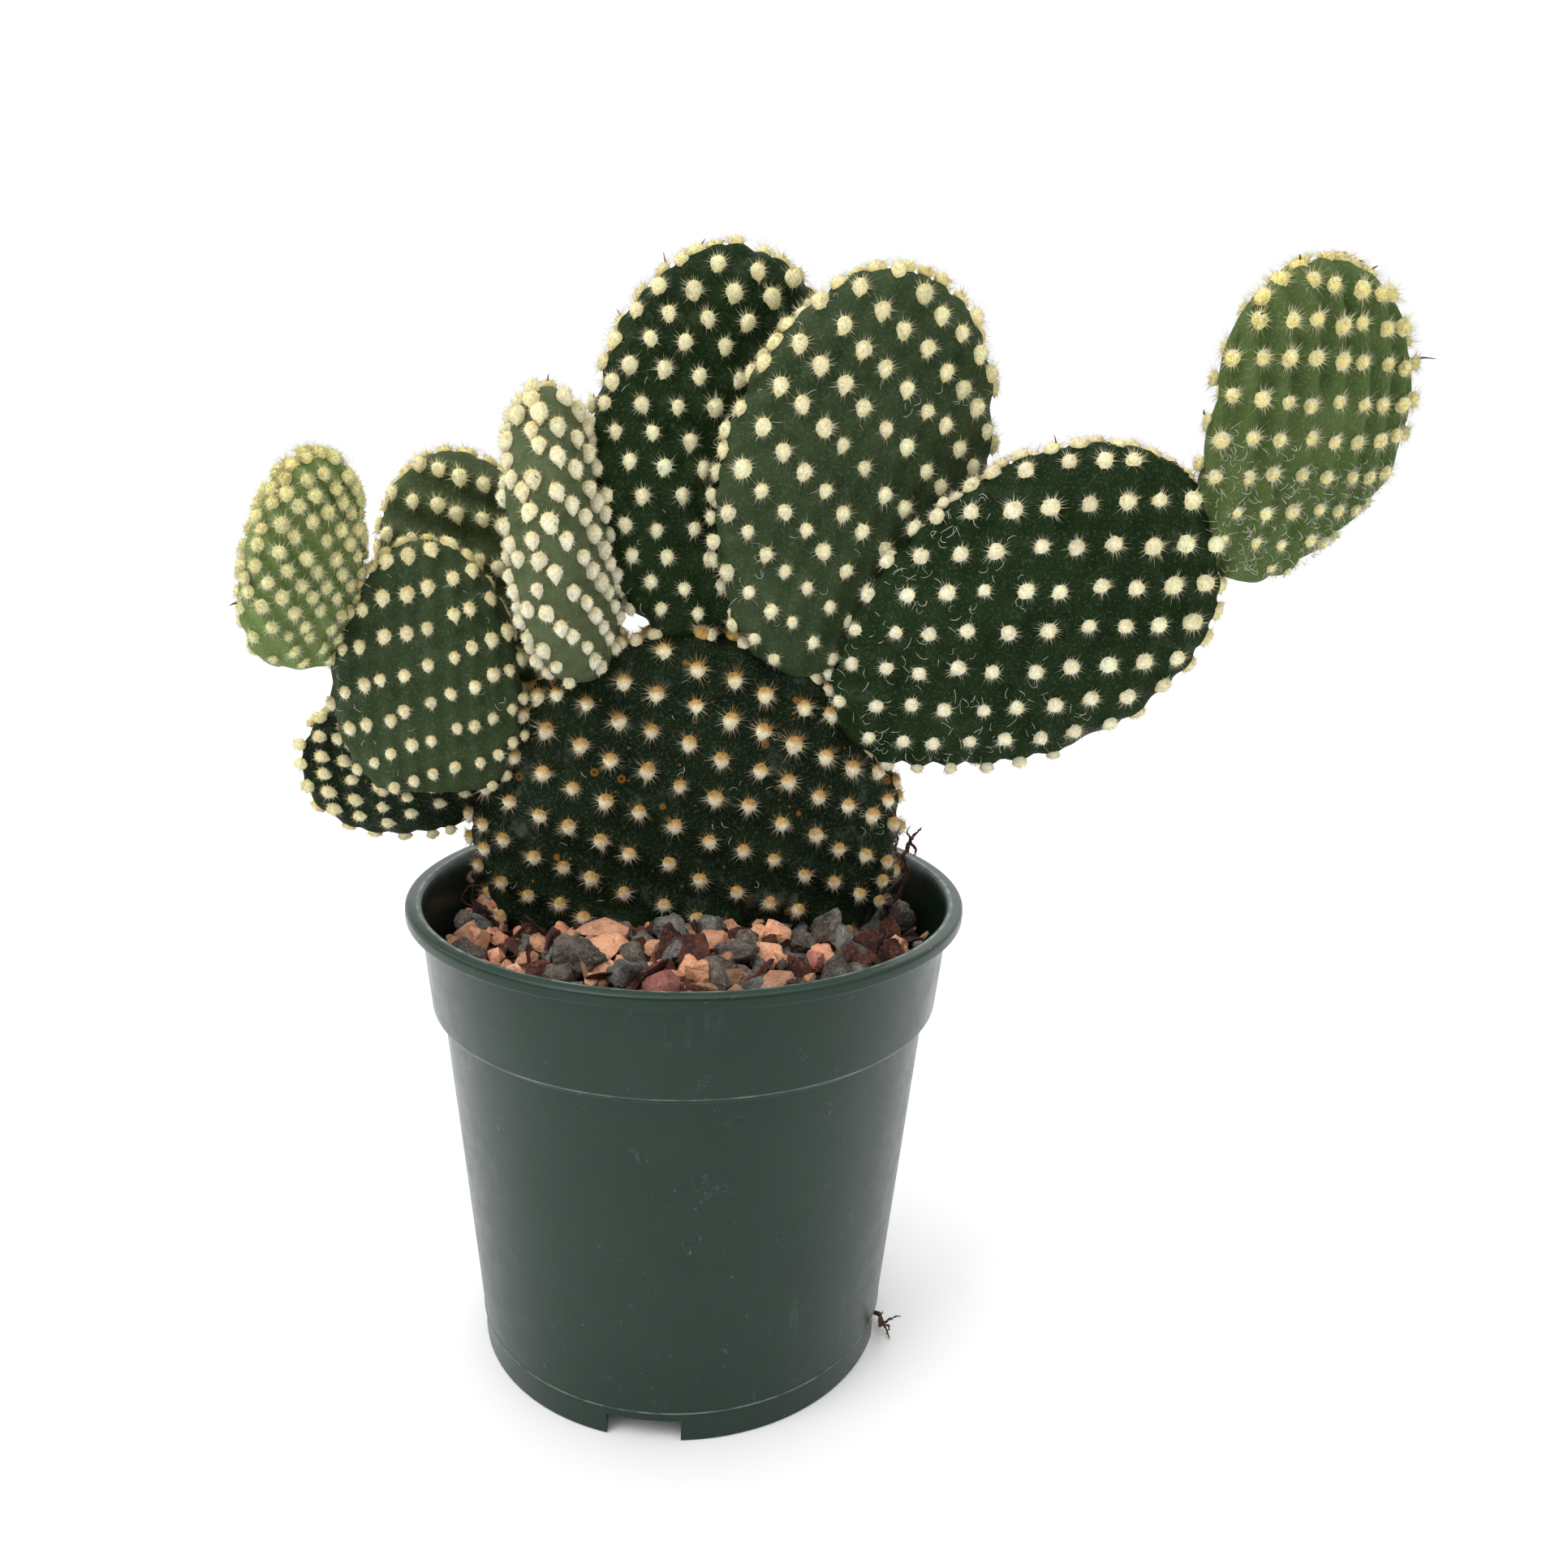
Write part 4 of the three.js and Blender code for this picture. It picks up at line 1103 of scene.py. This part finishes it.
def spikes(roots, tips, radius):
    """Closed three-sided spikes from roots to tips. Returns (count, 4, 3) points."""
    along = tips - roots
    along /= np.linalg.norm(along, axis=1)[:, None]
    side = np.cross(along, seeded.normal(size=along.shape))
    side /= np.linalg.norm(side, axis=1)[:, None]
    other = np.cross(along, side)
    turn = np.array([0, 2, 4]) * np.pi / 3
    ring = (side[:, None] * np.cos(turn)[None, :, None]
            + other[:, None] * np.sin(turn)[None, :, None])
    base = roots[:, None] + radius * ring
    return np.concatenate([base, tips[:, None]], 1)


def repeated(faces, copies, points_each):
    """Triangles of one shape repeated for many copies stored one after the other."""
    offset = points_each * np.arange(copies)[:, None, None]
    return (faces[None] + offset).reshape(-1, 3)


def colour_ramp(share, low, middle, high):
    """Colours from low through middle, at a share of one half, to high."""
    share = np.clip(share, 0, 1)[..., None]
    low, middle, high = (np.array(c) for c in (low, middle, high))
    first = low + (middle - low) * np.clip(share * 2, 0, 1)
    return first + (high - middle) * np.clip(share * 2 - 1, 0, 1)


def drop_shape(directions, spec):
    """The cushion: an ellipsoid about a tuft's own frame (right, tipward, out), narrowed and
    drawn out on its baseward half."""
    low = np.maximum(-directions[..., 1:2], 0)
    shape = directions * np.array(spec["half"])
    shape[..., 0:1] *= 1 - 0.3 * spec["point"] * low
    shape[..., 1:2] *= 1 + spec["point"] * low ** 4
    shape[..., 2:3] *= 1 - 0.2 * spec["point"] * low
    return shape


def tuft_cushions(count, spec):
    """Cushions in their own frames, (count, points, 3), with a colour for each point."""
    ball = coarse_sphere[0]
    shape = drop_shape(ball, spec)[None] * seeded.normal(0.95, 0.07, (count, len(ball), 1))
    share = 0.5 + spec["split"] * ball[:, 1] + 0.18 * ball[:, 2]
    tint = colour_ramp(share, spec["low"], spec["middle"], spec["crown"])
    return shape, np.broadcast_to(tint, shape.shape).copy()


def tuft_fuzz(count, spec):
    """Short spikes that stand out all over the cushion."""
    heading = seeded.normal(size=(count * spec["fuzz"], 3))
    heading[:, 2] = np.abs(heading[:, 2]) * 1.2
    heading /= np.linalg.norm(heading, axis=1)[:, None]
    surface = drop_shape(heading, spec)
    out = seeded.uniform(0.12, 0.5, (len(heading), 1))
    swept = np.array([0, -0.25 * spec["point"], 0])
    tips = surface + (heading + swept) * out
    share = 0.5 + spec["split"] * heading[:, 1]
    tint = colour_ramp(share, spec["low"], spec["middle"], spec["crown"])
    return spikes(surface * 0.72, tips, FUZZ_RADIUS), tint * 1.06


def tuft_bristles(count, spec):
    """Fine bristles that spread from under the cushion, close to the skin."""
    total = count * spec["bristles"]
    turn = seeded.uniform(0, 2 * np.pi, total)
    rise = np.radians(seeded.uniform(4, 48, total))
    heading = np.stack([np.cos(turn) * np.cos(rise), np.sin(turn) * np.cos(rise),
                        np.sin(rise)], -1)
    surface = drop_shape(heading, spec)
    tips = surface + heading * spec["reach"] * seeded.uniform(0.45, 1, (total, 1))
    tips[:, :2] += seeded.normal(0, 0.25, (total, 2))
    tint = colour_ramp(0.5 + 0.6 * np.sin(turn), spec["hair"], spec["hair"], spec["top_hair"])
    return spikes(surface * 0.5, tips, BRISTLE_RADIUS), tint


def tuft_finish():
    """Dry ivory to golden wool and bristles, with a fine streaky shade over each point's own
    colour."""
    finish, tree, shader = new_finish("bristles", Roughness=0.8, Specular_IOR_Level=0.2)
    tint = add_node(tree, "Attribute", attribute_name="tint").outputs["Color"]
    shade = between(tree, noise(tree, 0.45, 4, 0.75), 0.34, 0.66, 0.68, 1.16)
    tuned = add_node(tree, "HueSaturation", {"Color": tint, "Value": shade})
    tree.links.new(tuned.outputs[0], shader.inputs["Base Color"])
    bumped(tree, shader, noise(tree, 0.45, 4, 0.75), 0.2)
    return finish


def set_tint(piece, colours):
    """Stores a colour on every point of a piece."""
    layer = piece.data.color_attributes.new("tint", "FLOAT_COLOR", "POINT")
    whole = np.column_stack([colours, np.ones(len(colours))])
    layer.data.foreach_set("color", whole.astype(np.float32).ravel())


def pad_tufts(name):
    """Points, triangles and colours of all the tufts of a pad, from the pot's foot."""
    pad = PADS[name]
    spec = TUFTS[PAD_LOOKS[name]["tuft"]]
    sites = pad_sites[name]
    count = len(sites)
    here, out, tipward = pad_frames(pad, sites)
    right = np.cross(tipward, out)
    swing = seeded.normal(0, 0.18, count)[:, None]
    right, tipward = (right * np.cos(swing) + tipward * np.sin(swing),
                      tipward * np.cos(swing) - right * np.sin(swing))
    axes = np.stack([right, tipward, out], 1)
    along = here[:, 2] / pad["length"]
    size = (0.82 + 0.24 * along) * seeded.normal(1, 0.07, count)
    on_rim = np.exp(-(np.sin(sites[:, 1]) / 0.4) ** 2) * np.clip(along * 3 - 1, 0, 1)
    on_rim = on_rim[:, None]
    flatter = 1 + on_rim * np.array([0.05, 0.08, -0.22])
    lift = 0.85 * PAD_LOOKS[name]["swell"] + 0.25 * spec["half"][2]

    cushion, cushion_tint = tuft_cushions(count, spec)
    fuzz, fuzz_tint = tuft_fuzz(count, spec)
    bristle, bristle_tint = tuft_bristles(count, spec)
    fuzz_each, bristle_each = spec["fuzz"] * 4, spec["bristles"] * 4
    shape = np.concatenate([cushion, fuzz.reshape(count, fuzz_each, 3),
                            bristle.reshape(count, bristle_each, 3)], 1)
    fuzz_tint = np.repeat(fuzz_tint, 4, 0).reshape(count, fuzz_each, 3)
    bristle_tint = np.repeat(bristle_tint, 4, 0).reshape(count, bristle_each, 3)
    tint = np.concatenate([cushion_tint, fuzz_tint, bristle_tint], 1)
    aged = np.stack([0 * along, -0.04 * along, -0.2 * along ** 2], -1)
    aged -= on_rim * np.array([0.02, 0.06, 0.16])
    tint *= seeded.normal(1, 0.06, (count, 1, 1)) * (1.03 + aged[:, None])
    scale = size[:, None] * flatter
    turned_shape = np.einsum("nki,nij->nkj", shape * scale[:, None], axes)
    points = turned_shape + here[:, None] + out[:, None] * (lift * (1 - 0.2 * on_rim[:, None]))
    spike_faces = repeated(SPIKE_FACES, spec["fuzz"] + spec["bristles"], 4)
    one = np.vstack([coarse_sphere[1], spike_faces + len(coarse_sphere[0])])
    faces = repeated(one, count, shape.shape[1])
    return to_pot(name, points.reshape(-1, 3)), faces, np.clip(tint, 0, 1).reshape(-1, 3)


bristle_finish = tuft_finish()
for name in PADS:
    points, faces, tint = pad_tufts(name)
    tufts = add_piece("tufts_of_" + name, from_pot(points), faces, bristle_finish)
    set_tint(tufts, tint)

# ---- Loose hairs and leaf tips ----
# Fine white hairs shed from the tufts cling to the skin in curls, most of them on the two
# right pads. Young tufts on the rims still hold a withered leaf, a dark hooked point.


def tubes(paths, radii, sides):
    """Closed round tubes along paths of points, (tubes, steps, 3), that taper by a list of
    radii along them. Returns points and triangles."""
    along = np.gradient(paths, axis=1)
    along /= np.linalg.norm(along, axis=2)[..., None] + 1e-9
    side = np.cross(along, seeded.normal(size=(len(paths), 1, 3)))
    side /= np.linalg.norm(side, axis=2)[..., None] + 1e-9
    other = np.cross(along, side)
    turn = np.linspace(0, 2 * np.pi, sides, endpoint=False)[:, None]
    ring = side[:, :, None] * np.cos(turn) + other[:, :, None] * np.sin(turn)
    rings = paths[:, :, None] + ring * np.asarray(radii)[:, None, None]
    points = np.concatenate([paths[:, :1], rings.reshape(len(paths), -1, 3), paths[:, -1:]], 1)
    _, faces = capped_rings(rings[0], paths[0, 0], paths[0, -1])
    return points.reshape(-1, 3), repeated(faces, len(paths), points.shape[1])


def curled_paths(name, count, length, low, high):
    """Paths of loose hairs on a pad's front, between two shares of its length: each lies just
    over the skin and curls at its own steady rate."""
    pad = PADS[name]
    angle = np.arccos(1 - 2 * seeded.uniform(low, high, count))
    around = -seeded.uniform(0.25, np.pi - 0.25, count)
    here, out, tipward = pad_frames(pad, np.stack([angle, around], -1))
    right = np.cross(tipward, out)
    steps = 9
    share = np.linspace(0, 1, steps)
    heading = seeded.uniform(0, 2 * np.pi, (count, 1))
    heading = heading + seeded.normal(0, 1.7, (count, 1)) * share
    reach = length * seeded.uniform(0.5, 1.2, (count, 1)) / steps
    across = np.cumsum(np.cos(heading) * reach, 1)
    upward = np.cumsum(np.sin(heading) * reach, 1)
    over = 0.75 + seeded.uniform(0.2, 1.3, (count, 1)) * np.sin(np.pi * share)
    paths = (here[:, None] + across[..., None] * right[:, None]
             + upward[..., None] * tipward[:, None] + over[..., None] * out[:, None])
    return to_pot(name, paths.reshape(-1, 3)).reshape(paths.shape)


def plain_finish(name, colour, roughness=0.8):
    """A dry matte finish of one colour with a fine streaky shade."""
    finish, tree, shader = new_finish(name, Roughness=roughness, Specular_IOR_Level=0.25)
    dark = tuple(0.45 * c for c in colour)
    shade = between(tree, noise(tree, 1.2, 4), 0.35, 0.65)
    tree.links.new(mixed(tree, shade, dark + (1,), colour + (1,)), shader.inputs["Base Color"])
    bumped(tree, shader, noise(tree, 0.4, 3), 0.08)
    return finish


# On each pad: how many loose hairs, their length, and the part of the pad they cling to.
LOOSE_HAIRS = {
    "right_pad": (190, 2.7, 0.03, 0.6),
    "far_right_pad": (300, 2.4, 0.04, 0.45),
    "top_front_pad": (60, 2.4, 0.1, 0.9),
    "top_back_pad": (40, 2.4, 0.1, 0.8),
    "left_front_pad": (30, 2.0, 0.1, 0.9),
    "main_pad": (40, 2.2, 0.3, 0.95),
}
hair_finish = plain_finish("white_hair", (0.86, 0.86, 0.74), 0.6)
for name, (count, length, low, high) in LOOSE_HAIRS.items():
    paths = curled_paths(name, count, length, low, high)
    points, faces = tubes(paths, np.linspace(0.05, 0.03, 9), 3)
    add_piece("loose_hairs_on_" + name, from_pot(points), faces, hair_finish)


def leaf_tips(name, share):
    """Withered leaves at the upper side of a share of the rim tufts: short hooked tubes."""
    pad = PADS[name]
    sites = pad_sites[name]
    here, out, tipward = pad_frames(pad, sites)
    near_rim = np.abs(np.sin(sites[:, 1])) < 0.55
    upper = (out @ pad_turn(pad).T)[:, 2] > -0.35
    chosen = near_rim & upper & (seeded.uniform(size=len(sites)) < share)
    here, out, tipward = here[chosen], out[chosen], tipward[chosen]
    step = np.linspace(0, 1, 5)[None, :, None]
    length = seeded.uniform(0.5, 1.3, (len(here), 1, 1))
    hook = seeded.normal(0, 0.8, (len(here), 1, 3))
    paths = (here[:, None] + out[:, None] * (1.3 + 0.75 * length * step)
             + tipward[:, None] * (0.6 + 0.5 * length * step) + hook * step ** 2)
    points, faces = tubes(paths, (0.14, 0.2, 0.17, 0.11, 0.05), 5)
    return to_pot(name, points), faces


leaf_finish = plain_finish("withered_leaf", (0.10, 0.05, 0.03))
for name, share in (("far_right_pad", 0.4), ("top_back_pad", 0.35), ("top_front_pad", 0.25),
                    ("right_pad", 0.3), ("far_left_pad", 0.15), ("edge_on_pad", 0.2)):
    points, faces = leaf_tips(name, share)
    add_piece("leaf_tips_on_" + name, from_pot(points), faces, leaf_finish)

# ---- Roots and twigs ----
# Thin dry roots: one arches out of the mix at the back left, a stalk with frayed ends stands
# at the back right, and a wisp curls out of the right-hand drain notch.

# Each root: the node it stands for, the radius it is measured against and the height it
# starts from, then a thickness and path for each strand. Paths hold shares of that radius and
# heights in millimetres over the mix, or over the table for the one at the notch.
ROOTS = {
    "curled_root": (MIX_RADIUS, mix_height, (
        (0.5, ((-0.9, 0.22, 9), (-0.94, 0.29, 9.8), (-0.91, 0.37, 10.6), (-0.85, 0.4, 9.6),
               (-0.8, 0.47, 8.2))),
        (0.22, ((-0.88, 0.2, 3), (-0.95, 0.16, 7), (-0.9, 0.14, 10), (-0.85, 0.2, 8))),
        (0.2, ((-0.91, 0.36, 10), (-0.93, 0.3, 5), (-0.9, 0.26, 0))),
        (0.2, ((-0.8, 0.46, 8), (-0.82, 0.5, 4), (-0.78, 0.52, 0))),
    )),
    "dry_twig": (MIX_RADIUS, mix_height, (
        (0.75, ((0.78, 0.18, 5), (0.84, 0.21, 9.5), (0.89, 0.24, 13), (0.92, 0.26, 15.5))),
        (0.5, ((0.91, 0.25, 15), (0.94, 0.27, 17), (0.95, 0.29, 19), (1.0, 0.31, 21.4))),
        (0.42, ((0.9, 0.25, 14.5), (0.88, 0.27, 17), (0.9, 0.28, 18.6), (0.88, 0.29, 21.2))),
        (0.32, ((0.95, 0.28, 18.5), (0.98, 0.28, 17), (0.97, 0.27, 15.6))),
        (0.32, ((0.93, 0.27, 17), (0.96, 0.28, 19.2), (0.93, 0.28, 20.6), (0.95, 0.29, 22))),
        (0.45, ((0.92, 0.26, 15.4), (0.95, 0.27, 12), (0.93, 0.27, 8), (0.85, 0.24, 3))),
        (0.5, ((0.76, 0.16, 0), (0.8, 0.18, 4), (0.87, 0.2, 9), (0.93, 0.24, 12))),
        (0.4, ((0.7, 0.1, 1), (0.78, 0.12, 5), (0.88, 0.16, 7.6))),
    )),
    "drain_root": (FOOT_RADIUS, lambda radius: 0 * radius, (
        (0.5, ((0.92, -0.16, 1.2), (1.0, -0.22, 1.6), (1.0, -0.33, 2.4), (0.97, -0.4, 4.6))),
        (0.28, ((0.97, -0.4, 4.2), (1.0, -0.42, 6), (1.05, -0.42, 7.4), (1.07, -0.42, 7))),
        (0.24, ((1.0, -0.34, 2.6), (1.03, -0.37, 3.4), (1.01, -0.38, 1.8))),
        (0.24, ((1.0, -0.24, 1.6), (1.02, -0.3, 0.9), (1.03, -0.38, 0.4))),
        (0.2, ((0.97, -0.4, 4.6), (0.96, -0.42, 6.6), (0.98, -0.42, 8.6))),
    )),
}


def smooth_path(corners, steps=28):
    """A path that bends smoothly near its corners: a line through them blurred by averaging
    each point with its neighbours."""
    corners = np.asarray(corners, float)
    length = np.append(0, np.cumsum(np.linalg.norm(np.diff(corners, axis=0), axis=1)))
    at = np.linspace(0, length[-1], steps)
    path = np.stack([np.interp(at, length, column) for column in corners.T], -1)
    for _ in range(10):
        path[1:-1] = (path[:-2] + 2 * path[1:-1] + path[2:]) / 4
    return path


def root_strands(radius, surface, strands):
    """Points and triangles of a root's strands, each a knobbly tube that thins at both ends."""
    points, faces = [], []
    for thickness, corners in strands:
        corners = np.array(corners, float)
        base = surface(radius * np.hypot(corners[:, 0], corners[:, 1]))
        path = smooth_path(np.column_stack([corners[:, :2] * radius, base + corners[:, 2]]))
        path += seeded.normal(0, 0.09, path.shape)
        share = np.linspace(0, 1, len(path))
        radii = thickness * (1 - 0.75 * share ** 3) * seeded.uniform(0.75, 1.15, len(path))
        radii[0] *= 0.5
        strand, triangles = tubes(path[None], radii, 8)
        faces.append(triangles + sum(len(p) for p in points))
        points.append(strand)
    return np.vstack(points), np.vstack(faces)


root_finish = plain_finish("dry_root", (0.13, 0.062, 0.036))
for node, (radius, surface, strands) in ROOTS.items():
    points, faces = root_strands(radius, surface, strands)
    add_piece("fibrous_" + node, from_pot(points), faces, root_finish, (node,))

# ---- Size ----
# The bounds of every shown piece, the floor left out.

low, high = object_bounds()
